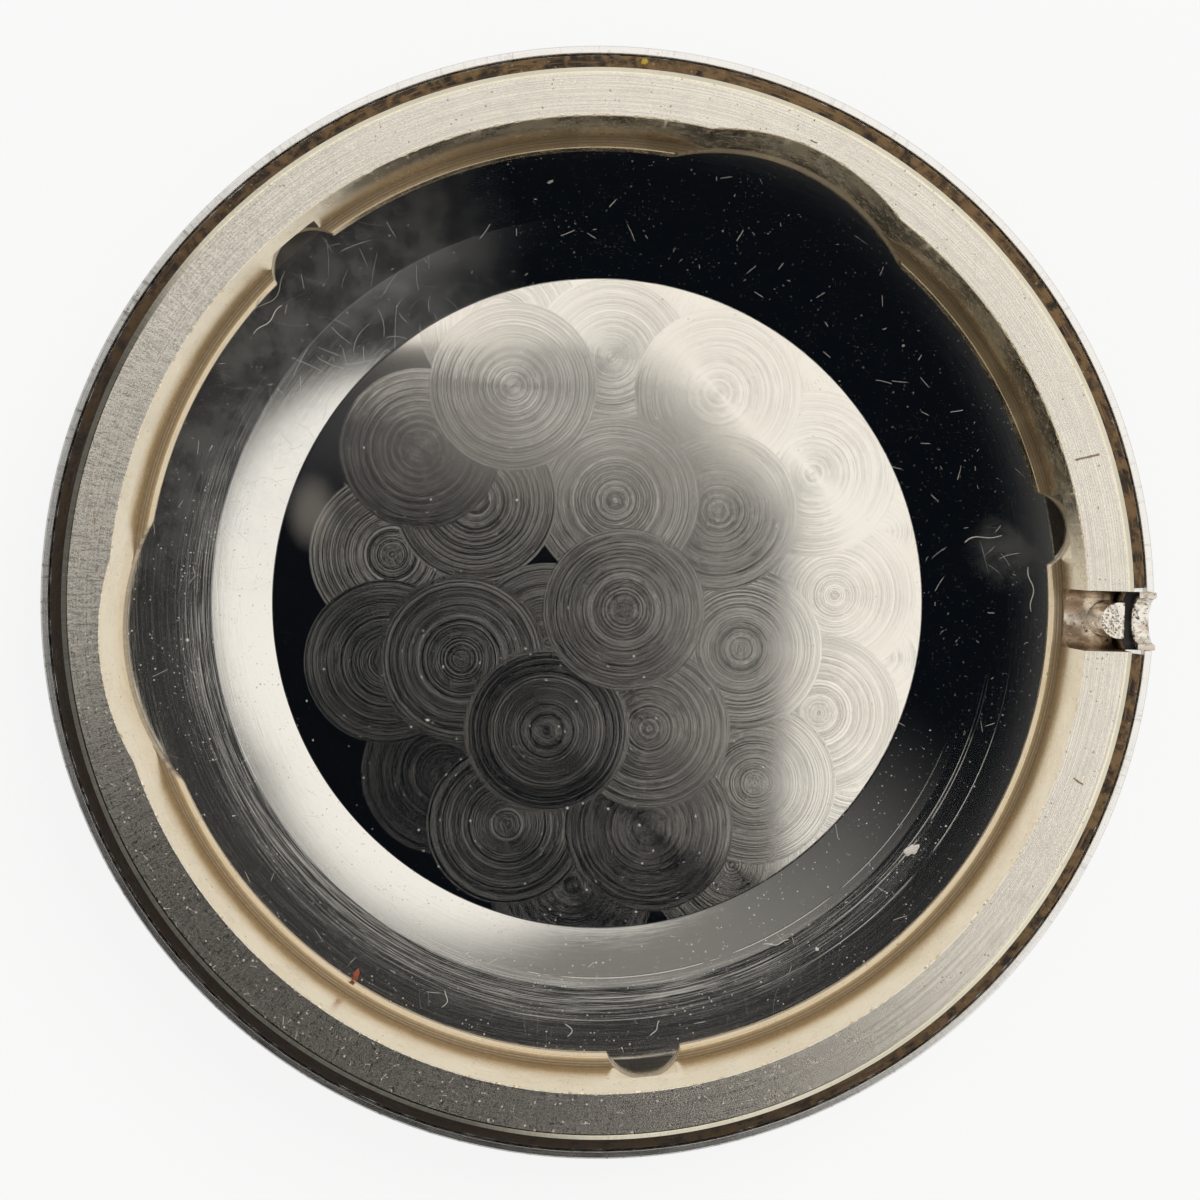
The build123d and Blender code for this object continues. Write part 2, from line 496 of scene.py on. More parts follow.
class Effects:
    """Node groups for what more than one finish shows. Each is built once."""

    def __init__(self) -> None:
        """Builds the groups."""
        self.turned_lines = self._turned_lines()
        self.scratch_marks = self._scratch_marks()
        self.specks = self._specks()
        self.patches = self._patches()
        self.round_band = self._round_band()
        self.toward = self._toward()

    @staticmethod
    def _toward() -> Tree:
        """One side of the object: the cosine of the angle in plan from a bearing, stepped from low to high.

        Returns:
            The group.
        """
        group = Group("toward", bearing=225.0, low=-0.5, high=0.5)
        x, y, _ = group.place.parts()
        plan = group.joined(x, y).unit()
        angle = group.given.bearing.math("RADIANS")
        way = group.joined(angle.math("COSINE"), angle.math("SINE"))
        return group.close(Mask=plan.dot(way).step(group.given.low, group.given.high))

    @staticmethod
    def _turned_lines() -> Tree:
        """Fine lines round the axis.

        The height is noise read at the plan direction times the reach, and at radius plus level times
        the fineness, so that each line is thin across and long round the axis.

        Returns:
            The group.
        """
        group = Group("turned_lines", fineness=8.0, reach=5.0, seed=0.0)
        given = group.given
        _, _, z, plan = group.spot()
        along = plan.length() + z
        x, y, _ = plan.unit().scaled(given.reach).parts()
        place = group.joined(x, y, along.fit(given.fineness, given.seed))
        return group.close(Height=group.noise(place, 1.0, 3.0, 0.65))

    @staticmethod
    def _scratch_marks() -> Tree:
        """Short bent scratches that point every way.

        Each cell of a Voronoi pattern holds one mark: its place from the cell's middle is turned by
        the cell's random angle, bent by the square of its length, and kept where it is thin.

        Returns:
            The group.
        """
        group = Group("scratch_marks", density=1.0, length=0.3, width=0.02, curl=0.5, share=0.5, seed=0.0)
        given = group.given
        plan = group.spot()[3].scaled(given.density) + group.joined(given.seed, given.seed)
        _, middle, chances = group.cells(plan, "2D")
        x, y, _ = (plan - middle).parts()
        turn, chance, size = chances.parts()
        angle = turn * (2 * math.pi)
        cosine, sine = angle.math("COSINE"), angle.math("SINE")
        along = x * cosine + y * sine
        across = y * cosine - x * sine
        across = (along * along * (size - 0.5)).fit(given.curl, across)
        width = given.width * chance.fit(0.8, 0.5)
        thin = abs(across).step(width * 0.4, width, 1.0, 0.0)
        reach = given.length * (size + 0.25)
        long = abs(along).step(reach * 0.7, reach, 1.0, 0.0)
        return group.close(Mask=thin * long * (chance < given.share))

    @staticmethod
    def _specks() -> Tree:
        """Specks of random size: the inside of each Voronoi cell, up to its random radius, wavered by noise.

        Returns:
            The group.
        """
        group = Group("specks", density=2.0, size=0.2, share=0.5, seed=0.0)
        given = group.given
        place = group.place.scaled(1.0 / MM).scaled(given.density) + group.joined(given.seed, 0.0, given.seed)
        settings = {"Vector": place, "Scale": 2.6, "Detail": 2.0}
        waver = group.out("ShaderNodeTexNoise", settings, "Color", True)
        distance, _, chances = group.cells(place + (waver - (0.5, 0.5, 0.5)).scaled(0.45), "3D")
        chance, size, tone = chances.parts()
        radius = size * size * given.size
        inside = distance.step(radius * 0.55, radius, 1.0, 0.0)
        return group.close(Mask=inside * (chance < given.share), Tone=tone)

    @staticmethod
    def _patches() -> Tree:
        """Cloudy patches: noise of a pitch in millimetres, stepped from its low to its high level.

        Returns:
            The group.
        """
        group = Group("patches", pitch=2.0, low=0.4, high=0.6, seed=0.0)
        given = group.given
        place = group.place.scaled(group.math("DIVIDE", 1.0 / MM, given.pitch))
        cloud = group.noise(place + group.joined(given.seed, given.seed), 1.0, 4.0, 0.6)
        return group.close(Mask=cloud.step(given.low, given.high))

    @staticmethod
    def _round_band() -> Tree:
        """Band round the axis: one at its radius, nought a width away, with gaps where noise along it is low.

        Returns:
            The group.
        """
        group = Group("round_band", radius=12.0, width=0.05, gaps=0.5, seed=0.0)
        given = group.given
        plan = group.spot()[3]
        away = abs(plan.length() - given.radius)
        band = away.step(given.width * 0.4, given.width, 1.0, 0.0)
        along = group.noise(plan.unit() + group.joined(given.seed, 0.0), 2.2, 4.0, 0.65)
        return group.close(Mask=band * along.step(given.gaps, given.gaps + 0.08))


# Finishes


class Coat(Graph):
    """Material with one Principled shader, its place on the object and short calls for the shared effects."""

    def __init__(self, name: str) -> None:
        """New material of this name.

        Args:
            name: The material's name.
        """
        self.material = bpy.data.materials.new(name)
        super().__init__(bare_tree(self.material))
        self.shader = self.add("ShaderNodeBsdfPrincipled")
        self.show(self.shader)
        self.place = self.out("ShaderNodeTexCoord", {}, "Object", True)

    def put(self, effect: Tree, **given: Value) -> Signal:
        """First output of a shared effect at this coat's place, with its inputs named in small letters."""
        inputs = {key.title(): value for key, value in given.items()}
        return self.out("ShaderNodeGroup", {"Place": self.place, **inputs}, node_tree=effect)

    def dress(self, **sockets: Value) -> Material:
        """The material, after the shader's sockets of these names have been fed.

        Args:
            **sockets: The sockets' names in small letters, and what goes into each.

        Returns:
            The material.
        """
        for key, value in sockets.items():
            self.feed(value, self.shader.inputs[key.replace("_", " ").title()])
        return self.material


@dataclass(frozen=True)
class MirrorDish:
    """Polished dish: a near mirror with fine turned lines, hair scratches, haze and settled dust.

    One side is worn: there the turned lines are dull and hold more dust.
    """

    steel: Colour = (0.87, 0.85, 0.80)
    dust: Colour = (0.50, 0.49, 0.46)
    haze: Colour = (0.30, 0.37, 0.48)
    line_depth: float = 0.00015
    scratch_depth: float = 0.002
    worn_bearing: float = 238.0
    worn_roughness: float = 0.29
    worn_haze: float = 0.05
    banded_bearing: float = 300.0
    dusty_bearing: float = 250.0
    haired_bearing: float = 146.0
    band_radii: tuple[float, ...] = (12.15, 12.78, 12.88, 13.5)
    hair_densities: tuple[float, ...] = (0.7, 1.1, 1.7)
    smudges: tuple[Triple, ...] = ((13.1, 2.1, 1.5), (-8.2, 11.0, 1.9), (-12.9, -2.4, 0.9))

    def build(self, effects: Effects) -> Material:
        """Material for the dish, built on the shared effects.

        Args:
            effects: The shared node groups.

        Returns:
            The material.
        """
        coat = Coat("mirror_dish")
        plan = coat.spot()[3]
        radius = plan.length()
        lines = coat.put(effects.turned_lines, fineness=90.0, reach=6.0)
        broad = coat.put(effects.turned_lines, fineness=34.0, reach=3.4, seed=60.0)
        worn = coat.put(effects.toward, bearing=self.worn_bearing, low=-0.45, high=0.75)
        scratches = effects.scratch_marks
        fine = coat.put(scratches, density=1.1, length=0.3, width=0.008, share=0.2)
        hair = coat.put(scratches, density=3.4, length=0.22, width=0.02, curl=3.0, share=0.03, seed=7.0)
        scratch = fine | hair * 0.8
        lower = coat.put(effects.toward, bearing=self.banded_bearing, low=0.55, high=0.9)
        bands: Value = 0.0
        for number, middle in enumerate(self.band_radii):
            seed = 3.0 * number
            bands = bands | coat.put(effects.round_band, radius=middle, width=0.022, gaps=0.42, seed=seed)
        bands = bands * lower
        cluster = coat.put(effects.patches, pitch=1.6, low=0.38, high=0.68, seed=15.0).fit(0.8, 0.2)
        large = coat.put(effects.specks, density=2.4, size=0.12, share=0.3)
        small = coat.put(effects.specks, density=9.0, size=0.36, share=0.75, seed=11.0)
        dirt = large | small * cluster
        dusty = coat.put(effects.toward, bearing=self.dusty_bearing, low=-0.3, high=0.5)
        loose = dirt * coat.blend(small.twin("Tone"), 0.2, 0.95) * dusty.fit(0.65, 0.35)
        powder = coat.put(effects.specks, density=15.0, size=0.5, share=0.6, seed=43.0)
        powdery = coat.put(effects.patches, pitch=1.1, low=0.42, high=0.66, seed=51.0)
        loose = loose | powder * powdery * 0.05
        smudge: Value = 0.0
        for right, up, size in self.smudges:
            smudge = smudge | (plan - (right, up, 0.0)).length().step(0.1, size, 1.0, 0.0)
        cloud = coat.put(effects.patches, pitch=0.9, low=0.35, high=0.7, seed=2.0)
        film = smudge * cloud.fit(0.10, 0.01)
        haired = coat.put(effects.toward, bearing=self.haired_bearing, low=0.72, high=0.98)
        rubbed = smudge | (haired | worn * radius.step(12.2, 12.8)) * 0.45
        strands: Value = 0.0
        for number, density in enumerate(self.hair_densities):
            form = {"density": density, "width": 0.008 * density, "seed": 61.0 + 7.0 * number}
            strands = strands | coat.put(scratches, length=1.1, curl=0.9, share=0.5, **form)
        scratch = scratch | strands * rubbed * 0.42
        film = film | worn * radius.step(12.0, 12.8) * self.worn_haze
        film = film | haired * cloud.fit(0.08, 0.05)
        marks = scratch * 0.5 | bands * 0.45
        cover = (loose | marks * 0.6).clamped()
        colour = coat.mix(film, coat.mix(cover, self.steel, self.dust), self.haze)
        bare = 1.0 - (loose | film) * 0.95
        near = radius.step(12.0, 12.7, 0.08, 1.0) * radius.step(12.8, 14.0, 1.0, 0.4)
        dull = coat.blend(0.42, lines, broad).step(0.465, 0.575) * worn * near
        rough = cover.fit(0.5, dull.fit(self.worn_roughness, 0.03))
        normal = coat.bump(1.0 - marks, self.scratch_depth, coat.bump(lines, self.line_depth))
        return coat.dress(base_color=colour, metallic=bare, roughness=rough, normal=normal)


@dataclass(frozen=True)
class RoundGraining:
    """Flat centre with overlapping spots of round graining, each later spot over the earlier ones.

    Inside a spot, rings too fine to see one by one are dull between mirror-bright lands, and coarser
    noise gathers them into rings that show. They scatter light across themselves, away from the spot's
    middle. Each spot has its own tone, which shifts its rings and sets its strength.
    """

    steel: Colour = (0.89, 0.86, 0.80)
    film: Colour = (0.84, 0.77, 0.66)
    dust: Colour = (0.46, 0.45, 0.42)
    dusty_bearing: float = 262.0
    smudge: Colour = (0.50, 0.39, 0.26)
    smudge_place: Triple = (-9.35, 2.75, 0.0)
    smudge_form: Triple = (1.5, 1.0, 0.0)
    spot_radius: float = 2.68
    tone_step: float = 0.37
    groove_depth: float = 0.00015
    ring_roughness: float = 0.23
    ring_low: float = 0.50
    ring_high: float = 0.61
    veil: float = 0.05
    spread: float = 0.6
    fineness: float = 200.0
    seen_fineness: float = 11.0
    ring_pitch: float = 0.24
    spots: tuple[tuple[float, float], ...] = (
        (-1.6, -1.3), (9.2, 2.6), (9.3, -1.5), (8.4, -5.2), (6.9, 7.4), (3.9, 9.2), (-3.4, 9.0), (4.6, -8.4),
        (-0.6, -9.2), (7.69, 0.49), (7.29, -3.36), (6.88, 4.43), (5.26, -5.71), (0.23, 8.0), (3.72, 6.95),
        (-4.89, -5.63), (-2.78, -7.26), (1.85, -7.26), (-6.72, 1.43), (4.69, -1.33), (3.83, 3.13),
        (0.47, 3.38), (-4.07, 3.25), (-5.91, 4.87), (-2.94, 6.98), (-6.83, -2.06), (1.77, -4.01),
        (-4.40, -1.90), (-1.56, -4.17), (0.84, -0.16),
    )

    def build(self, effects: Effects) -> Material:
        """Material for the flat centre, built on the shared effects.

        Args:
            effects: The shared node groups.

        Returns:
            The material.
        """
        coat = Coat("round_graining")
        flat = coat.spot()[3]
        local: Value = (30.0, 30.0, 0.0)
        for number, (right, up) in enumerate(self.spots):
            away = flat - (right, up, -self.tone_step * (number + 1))
            edge = self.spot_radius * (0.97 + 0.06 * ((number * 37) % 10) / 10)
            local = coat.pick((away * (1.0, 1.0, 0.0)).length() < edge, local, away)
        x, y, tone = local.parts()
        around = coat.joined(x, y)
        radius = around.length()
        inside = radius < 4.0
        level = coat.joined(radius * self.fineness, tone * 9.0)
        wide = coat.joined(radius * self.seen_fineness, tone * 5.0, 3.0)
        phase = radius * (2 * math.pi / self.ring_pitch) + tone * 20.0
        wave = phase.math("COSINE").fit(0.13, 0.5)
        seen = coat.blend(0.55, coat.noise(wide, 1.0, 1.0, 0.5), wave)
        rings = coat.blend(0.14, coat.noise(level, 1.0, 1.0, 0.6), seen)
        turn = around.unit().scaled(3.0)
        broken = coat.noise(turn + coat.joined(tone, 0.0, radius * 9.0), 1.0, 2.0, 0.6)
        ringed = coat.blend(0.10, rings, broken).step(self.ring_low, self.ring_high) * inside
        ringed = ringed * (tone * 1.7).math("FRACT").fit(0.4, 0.6)
        large = coat.put(effects.specks, density=1.8, size=0.1, share=0.35, seed=5.0)
        small = coat.put(effects.specks, density=6.0, size=0.25, share=0.3, seed=17.0)
        lower = coat.put(effects.toward, bearing=self.dusty_bearing, low=0.2, high=0.95)
        dirt = (large | small * lower.fit(0.7, 0.3)) * 0.7
        film = coat.put(effects.patches, pitch=5.0, low=0.35, high=0.7, seed=9.0)
        smudge = ((flat - self.smudge_place) * self.smudge_form).length().step(0.2, 1.5, 1.0, 0.0) * 0.17
        tinted = coat.mix(smudge, coat.mix(film * 0.3, self.steel, self.film), self.smudge)
        dulled = dirt * 0.8 | ringed * self.veil | smudge
        return coat.dress(
            base_color=coat.mix(dirt, tinted, self.dust), metallic=1.0 - dulled,
            roughness=dirt.fit(0.5, ringed.fit(self.ring_roughness, 0.05)),
            normal=coat.bump(ringed, self.groove_depth), anisotropic=self.spread, tangent=around.unit(),
        )


@dataclass(frozen=True)
class BrushedFace:
    """Circular brushed steel with nicks, short scratches, brown dirt in its low spots, and painted shade that
    darkens one side.
    """

    name: str = "brushed_face"
    steel: Colour = (0.91, 0.86, 0.77)
    stain: Colour = (0.28, 0.20, 0.12)
    roughness: float = 0.22
    spread: float = 0.6
    line_depth: float = 0.0014
    cut_depth: float = 0.006
    fineness: float = 44.0
    contrast: float = 0.22
    stain_share: float = 0.6
    # Bearing of the side with lines across the turning, which is also painted darker there as shade.
    crossed_and_shaded_bearing: float = 205.0
    # How far the whole tone of that side is darkened, as painted shade.
    shaded: float = 0.0
    nicks: tuple[tuple[float, float, float, float, float], ...] = ()

    def nicked(self, coat: Coat) -> Value:
        """Mask of the single nicks: each a short ragged stroke at its own place and bearing.

        Args:
            coat: The material that they go into.

        Returns:
            One in the nicks and nought elsewhere.
        """
        plan = coat.spot()[3]
        ragged = (coat.noise(plan, 9.0, 3.0, 0.6) - 0.5) * 0.09
        mask: Value = 0.0
        for right, up, bearing, reach, width in self.nicks:
            turn = math.radians(bearing)
            local = plan - (right, up, 0.0)
            along = abs(local.dot((math.cos(turn), math.sin(turn), 0.0)))
            across = abs(local.dot((-math.sin(turn), math.cos(turn), 0.0)) + ragged)
            stroke = along.step(0.8 * reach, reach, 1.0, 0.0) * across.step(0.4 * width, width, 1.0, 0.0)
            mask = mask | stroke
        return mask

    def build(self, effects: Effects) -> Material:
        """Material for a brushed face, built on the shared effects.

        Args:
            effects: The shared node groups.

        Returns:
            The material.
        """
        coat = Coat(self.name)
        lines = coat.put(effects.turned_lines, fineness=self.fineness, reach=2.2)
        grain = coat.noise(coat.place.scaled(30.0 / MM), 1.0, 2.0, 0.7)
        across = coat.put(effects.turned_lines, fineness=2.0, reach=170.0, seed=70.0)
        crossed_and_shaded = coat.put(effects.toward, bearing=self.crossed_and_shaded_bearing, low=-0.2, high=0.8)
        marks = coat.put(effects.scratch_marks, density=2.4, length=0.3, width=0.03, share=0.3, seed=4.0)
        pits = coat.put(effects.specks, density=7.0, size=0.34, share=0.5, seed=21.0)
        cloud = coat.put(effects.patches, pitch=0.8, low=0.45, high=0.75, seed=13.0)
        fine = coat.blend(crossed_and_shaded.fit(0.2, 0.45), lines, grain)
        fine = coat.blend(crossed_and_shaded * 0.3, fine, across).step(0.40, 0.58)
        # Painted shade: on that side the grain's dark lines are painted deeper, and the whole tone is darkened
        # by the share shaded.
        shade = crossed_and_shaded.step(0.55, 0.95) * self.shaded
        tone = (1.04 - crossed_and_shaded.fit(0.35, self.contrast) * (1.0 - fine)) * (1.0 - shade)
        worn = coat.mix(cloud * 0.3, self.steel, tuple(0.8 * part for part in self.steel))
        lit = coat.mix(1.0, worn, coat.joined(tone, tone, tone), "MULTIPLY")
        dirt = pits * self.stain_share | self.nicked(coat)
        normal = coat.bump(1.0 - (marks | pits * 0.6), self.cut_depth, coat.bump(fine, self.line_depth))
        return coat.dress(
            base_color=coat.mix(dirt, lit, self.stain), metallic=1.0 - dirt * 0.7,
            roughness=dirt.fit(0.3, grain.fit(0.14, self.roughness - 0.07)), normal=normal,
            anisotropic=self.spread, anisotropic_rotation=0.25,
            tangent=coat.out("ShaderNodeTangent", {}, direction_type="RADIAL", axis="Z"),
        )


@dataclass(frozen=True)
class TurnedBore:
    """Turned wall: a warm film that thickens downwards, tool lines, painted shade and glints on one side, and
    painted shade and dirt over the ledge.
    """

    name: str = "turned_bore"
    steel: Colour = (0.88, 0.80, 0.65)
    film: Colour = (0.72, 0.56, 0.34)
    # Dark brown of the dirt, and of the painted shade at the wall's foot.
    seam_shade_and_dirt: Colour = (0.11, 0.065, 0.03)
    # Greenish brown of the painted shade on the side towards shaded_bearing.
    shade_olive: Colour = (0.40, 0.32, 0.19)
    roughness: float = 0.2
    line_depth: float = 0.0012
    fineness: float = 14.0
    film_top: float = 3.7
    seam_level: float = 1.96
    seam_height: float = 0.16
    ledge_level: float = 1.90
    groove_radius: float = 14.74
    inner_groove_radius: float = 14.655
    shaded_bearing: float = 55.0
    film_share: float = 0.72

    def build(self, effects: Effects) -> Material:
        """Material for a turned wall, built on the shared effects.

        Args:
            effects: The shared node groups.

        Returns:
            The material.
        """
        coat = Coat(self.name)
        x, y, level, plan = coat.spot()
        lines = coat.put(effects.turned_lines, fineness=self.fineness, reach=2.5)
        cloud = coat.put(effects.patches, pitch=1.6, low=0.36, high=0.7, seed=31.0)
        spots = coat.put(effects.specks, density=5.0, size=0.3, share=0.45, seed=8.0)
        # Painted shade: the side towards shaded_bearing is painted darker and greener, broken by patches of
        # painted glints.
        shaded = coat.put(effects.toward, bearing=self.shaded_bearing, low=0.35, high=0.95)
        glints = coat.put(effects.patches, pitch=3.0, low=0.52, high=0.68, seed=77.0)
        shaded = shaded * glints.fit(-0.6, 1.0)
        film = level.step(self.seam_level, self.film_top, 1.0, 0.0) * lines.step(0.42, 0.62).fit(0.35, 0.7)
        film = (cloud.fit(0.15, film) * self.film_share).clamped()
        colour = coat.mix(shaded * 0.72, coat.mix(film, self.steel, self.film), self.shade_olive)
        # Painted shade at the wall's foot over the ledge, strong on the shaded side and faint on the lit one.
        seam_shade_and_dirt = level.step(self.seam_level, self.seam_level + self.seam_height, 1.0, 0.0)
        seam_shade_and_dirt = seam_shade_and_dirt * shaded.fit(0.65, 0.05)
        # Dirt mottling, painted stronger on the shaded side as shade.
        mottle_and_shade = coat.noise(coat.joined(x, y, level), 5.0, 4.0, 0.7).step(0.5, 0.68, 0.0, 0.35)
        mottle_and_shade = mottle_and_shade * shaded.fit(0.8, 0.2)
        on_ledge = level < self.ledge_level
        brown = plan.length().step(14.53, 14.60, 0.0, 0.55)
        brown = brown * coat.noise(plan, 7.0, 3.0, 0.65).step(0.25, 0.6, 0.7, 1.0)
        # On the ledge the dark colour is brown dirt; at the wall's foot it is the painted shade.
        seam_shade_and_dirt = on_ledge * brown | seam_shade_and_dirt * (1.0 - on_ledge)
        groove = coat.put(effects.round_band, radius=self.groove_radius, width=0.035, gaps=0.35, seed=1.0)
        other = coat.put(effects.round_band, radius=self.inner_groove_radius, width=0.032, gaps=0.3, seed=6.0)
        groove = on_ledge * (groove | other) * 0.75
        dirt = ((spots * 0.5 | mottle_and_shade) | (seam_shade_and_dirt | groove)).clamped()
        return coat.dress(
            base_color=coat.mix(dirt, colour, self.seam_shade_and_dirt), metallic=1.0 - dirt * 0.7,
            roughness=dirt.fit(0.35, cloud.fit(0.1, self.roughness)), normal=coat.bump(lines, self.line_depth),
        )


@dataclass(frozen=True)
class DarkHollow:
    """Painted shade under the overhangs and in the cut of the stem's slot, nearly black."""

    name: str = "dark_hollow"
    # The two near blacks of the painted shade.
    hollow_shade: Colour = (0.012, 0.012, 0.014)
    bare: Colour = (0.035, 0.032, 0.03)

    def build(self, effects: Effects) -> Material:
        """Material for the pockets' hidden faces: a painted shade, varied by patches and specks.

        Args:
            effects: The shared node groups.

        Returns:
            The material.
        """
        coat = Coat(self.name)
        cloud = coat.put(effects.patches, pitch=0.6, low=0.4, high=0.7, seed=41.0)
        spots = coat.put(effects.specks, density=5.0, size=0.3, share=0.4, seed=18.0)
        # Painted shade: the hidden faces are painted nearly black.
        colour = coat.mix(cloud | spots, self.hollow_shade, self.bare)
        return coat.dress(base_color=colour, roughness=cloud.fit(0.2, 0.5), normal=coat.bump(cloud, 0.01))


@dataclass(frozen=True)
class PittedSteel:
    """Filed steel with pits that hold brown dirt, more of it towards the sides of the stem's way."""

    name: str = "pitted_steel"
    steel: Colour = (0.90, 0.86, 0.79)
    dirt: Colour = (0.045, 0.03, 0.02)
    rust: Colour = (0.30, 0.19, 0.12)
    roughness: float = 0.27
    dirt_share: float = 0.95
    rust_low: float = 0.5
    side_from: float = 0.6
    side_to: float = 0.92
    side_share: float = 0.5
    rub_fineness: Triple = (9000.0, 2600.0, 9000.0)

    def build(self, effects: Effects) -> Material:
        """Material for pitted steel, built on the shared effects.

        Args:
            effects: The shared node groups.

        Returns:
            The material.
        """
        coat = Coat(self.name)
        _, y, _ = coat.place.scaled(1.0 / MM).parts()
        coarse = coat.put(effects.specks, density=5.5, size=0.42, share=0.55, seed=14.0)
        fine = coat.put(effects.specks, density=13.0, size=0.5, share=0.5, seed=25.0)
        cloud = coat.put(effects.patches, pitch=0.45, low=self.rust_low, high=self.rust_low + 0.2, seed=6.0)
        side = abs(y).step(self.side_from, self.side_to) * self.side_share
        rub = coat.noise(coat.place * self.rub_fineness, 1.0, 3.0, 0.6)
        pits = coarse | fine * 0.8
        colour = coat.mix(cloud * 0.75 | side, self.steel, self.rust)
        held = pits * self.dirt_share
        return coat.dress(
            base_color=coat.mix(held, colour, self.dirt), metallic=1.0 - held * 0.9,
            roughness=held.fit(0.45, rub.fit(0.2, self.roughness - 0.08)),
            normal=coat.bump(rub * 0.3 - pits, 0.02),
        )


@dataclass(frozen=True)
class FiledLip:
    """Bare lip, bright on one side and painted darker in shade on the other, with marks that run across it and
    dirt, both stronger on the shaded side.
    """

    steel: Colour = (0.93, 0.92, 0.90)
    dirt: Colour = (0.10, 0.08, 0.06)
    # Bearing of the painted shade, and the share of the steel's colour that is left there.
    shade_bearing: float = 215.0
    shade_share: float = 0.62

    def build(self, effects: Effects) -> Material:
        """Material for the lip: marks are noise that is fine round the axis and long across the lip.

        Args:
            effects: The shared node groups.

        Returns:
            The material.
        """
        coat = Coat("filed_lip")
        _, _, z, plan = coat.spot()
        x, y, _ = plan.unit().scaled(90.0).parts()
        marks = coat.noise(coat.joined(x, y, plan.length() + z), 1.0, 3.0, 0.7)
        lines = coat.put(effects.turned_lines, fineness=9.0, reach=12.0)
        spots = coat.put(effects.specks, density=4.0, size=0.35, share=0.5, seed=2.0)
        # Painted shade: one side of the lip is darkened, and the marks and dirt on it are made stronger.
        dull = coat.put(effects.toward, bearing=self.shade_bearing, low=-0.2, high=0.6)
        held = (marks.step(0.52, 0.72) | spots * 0.8) * dull.fit(0.6, 0.2)
        steel = coat.mix(dull, self.steel, tuple(self.shade_share * part for part in self.steel))
        return coat.dress(
            base_color=coat.mix(held, steel, self.dirt), metallic=1.0 - held * 0.5,
            roughness=lines.fit(0.2, 0.16), normal=coat.bump(marks * 0.6 + lines, 0.004),
        )


@dataclass(frozen=True)
class WornOutside:
    """Polished outside that years of wear have covered with fine scratches and a few dents."""

    steel: Colour = (0.78, 0.76, 0.72)
    clouded: Colour = (0.60, 0.57, 0.52)
    scratched: Colour = (0.42, 0.40, 0.37)
    line_depth: float = 0.0012
    cut_depth: float = 0.006

    def build(self, effects: Effects) -> Material:
        """Material for the rim, shoulder and underside, built on the shared effects.

        Args:
            effects: The shared node groups.

        Returns:
            The material.
        """
        coat = Coat("worn_outside")
        lines = coat.put(effects.turned_lines, fineness=12.0, reach=5.0)
        scratches = effects.scratch_marks
        long = coat.put(scratches, density=0.45, length=0.5, width=0.006, curl=0.4, share=0.8, seed=1.0)
        short = coat.put(scratches, density=1.3, length=0.4, width=0.012, curl=0.8, share=0.7, seed=5.0)
        tiny = coat.put(scratches, density=3.1, length=0.4, width=0.02, curl=1.0, share=0.6, seed=9.0)
        marks = long | (short | tiny * 0.6)
        cloud = coat.put(effects.patches, pitch=4.0, low=0.4, high=0.7, seed=3.0)
        dents = coat.put(effects.specks, density=1.1, size=0.2, share=0.4, seed=19.0)
        colour = coat.mix(marks * 0.4, coat.mix(cloud * 0.3, self.steel, self.clouded), self.scratched)
        normal = coat.bump(1.0 - (marks | dents), self.cut_depth, coat.bump(lines, self.line_depth))
        rough = marks.fit(0.3, cloud.fit(0.1, 0.14))
        return coat.dress(base_color=colour, metallic=1.0, roughness=rough, normal=normal)


@dataclass(frozen=True)
class AgedSeal:
    """Dry dark sealing material with brown patches and lines and light crumbs, browner towards one side."""

    dark: Colour = (0.020, 0.013, 0.009)
    brown: Colour = (0.20, 0.125, 0.060)
    crumb: Colour = (0.36, 0.29, 0.20)
    brown_bearing: float = 42.0
    shine: float = 0.3

    def build(self, effects: Effects) -> Material:
        """Material for the sealing ring, built on the shared effects.

        Args:
            effects: The shared node groups.

        Returns:
            The material.
        """
        coat = Coat("aged_seal")
        cloud = coat.put(effects.patches, pitch=0.35, low=0.36, high=0.62, seed=4.0)
        lines = coat.put(effects.turned_lines, fineness=7.0, reach=9.0, seed=5.0)
        spots = coat.put(effects.specks, density=6.0, size=0.34, share=0.4, seed=12.0)
        side = coat.put(effects.toward, bearing=self.brown_bearing, low=-0.95, high=0.6)
        brown = (cloud | lines.step(0.46, 0.66)) * side.fit(0.9, 0.08)
        colour = coat.mix(spots * 0.6 * side, coat.mix(brown, self.dark, self.brown), self.crumb)
        coat.shader.inputs["Specular IOR Level"].default_value = self.shine
        normal = coat.bump(lines + cloud, 0.02)
        return coat.dress(base_color=colour, metallic=0.0, roughness=cloud.fit(0.3, 0.5), normal=normal)


class FleckTone(Enum):
    """Colours of the loose flecks and fibres."""

    PALE = (0.80, 0.78, 0.72)
    GREY = (0.42, 0.41, 0.39)
    AMBER = (0.62, 0.42, 0.05)
    RED = (0.42, 0.10, 0.05)


@dataclass(frozen=True)
class LooseFleck:
    """Dull finish of a loose fleck, with a fine grain."""

    tone: FleckTone

    def build(self) -> Material:
        """Material for flecks of this tone, with noise in its colour and height.

        Returns:
            The material.
        """
        coat = Coat(f"fleck_{self.tone.name.lower()}")
        grain = coat.noise(coat.place.scaled(30.0 / MM), 1.0, 2.0, 0.6)
        shade = tuple(0.5 * part for part in self.tone.value)
        colour = coat.mix(grain.step(0.3, 0.6), shade, self.tone.value)
        return coat.dress(base_color=colour, roughness=0.6, normal=coat.bump(grain, 0.01))


# Shapes


def spun(radius: np.ndarray, bearing: np.ndarray, level: np.ndarray) -> np.ndarray:
    """Points at these radii, bearings and levels round the axis, one in each row."""
    return np.stack([radius * np.cos(bearing), radius * np.sin(bearing), level], -1).reshape(-1, 3)


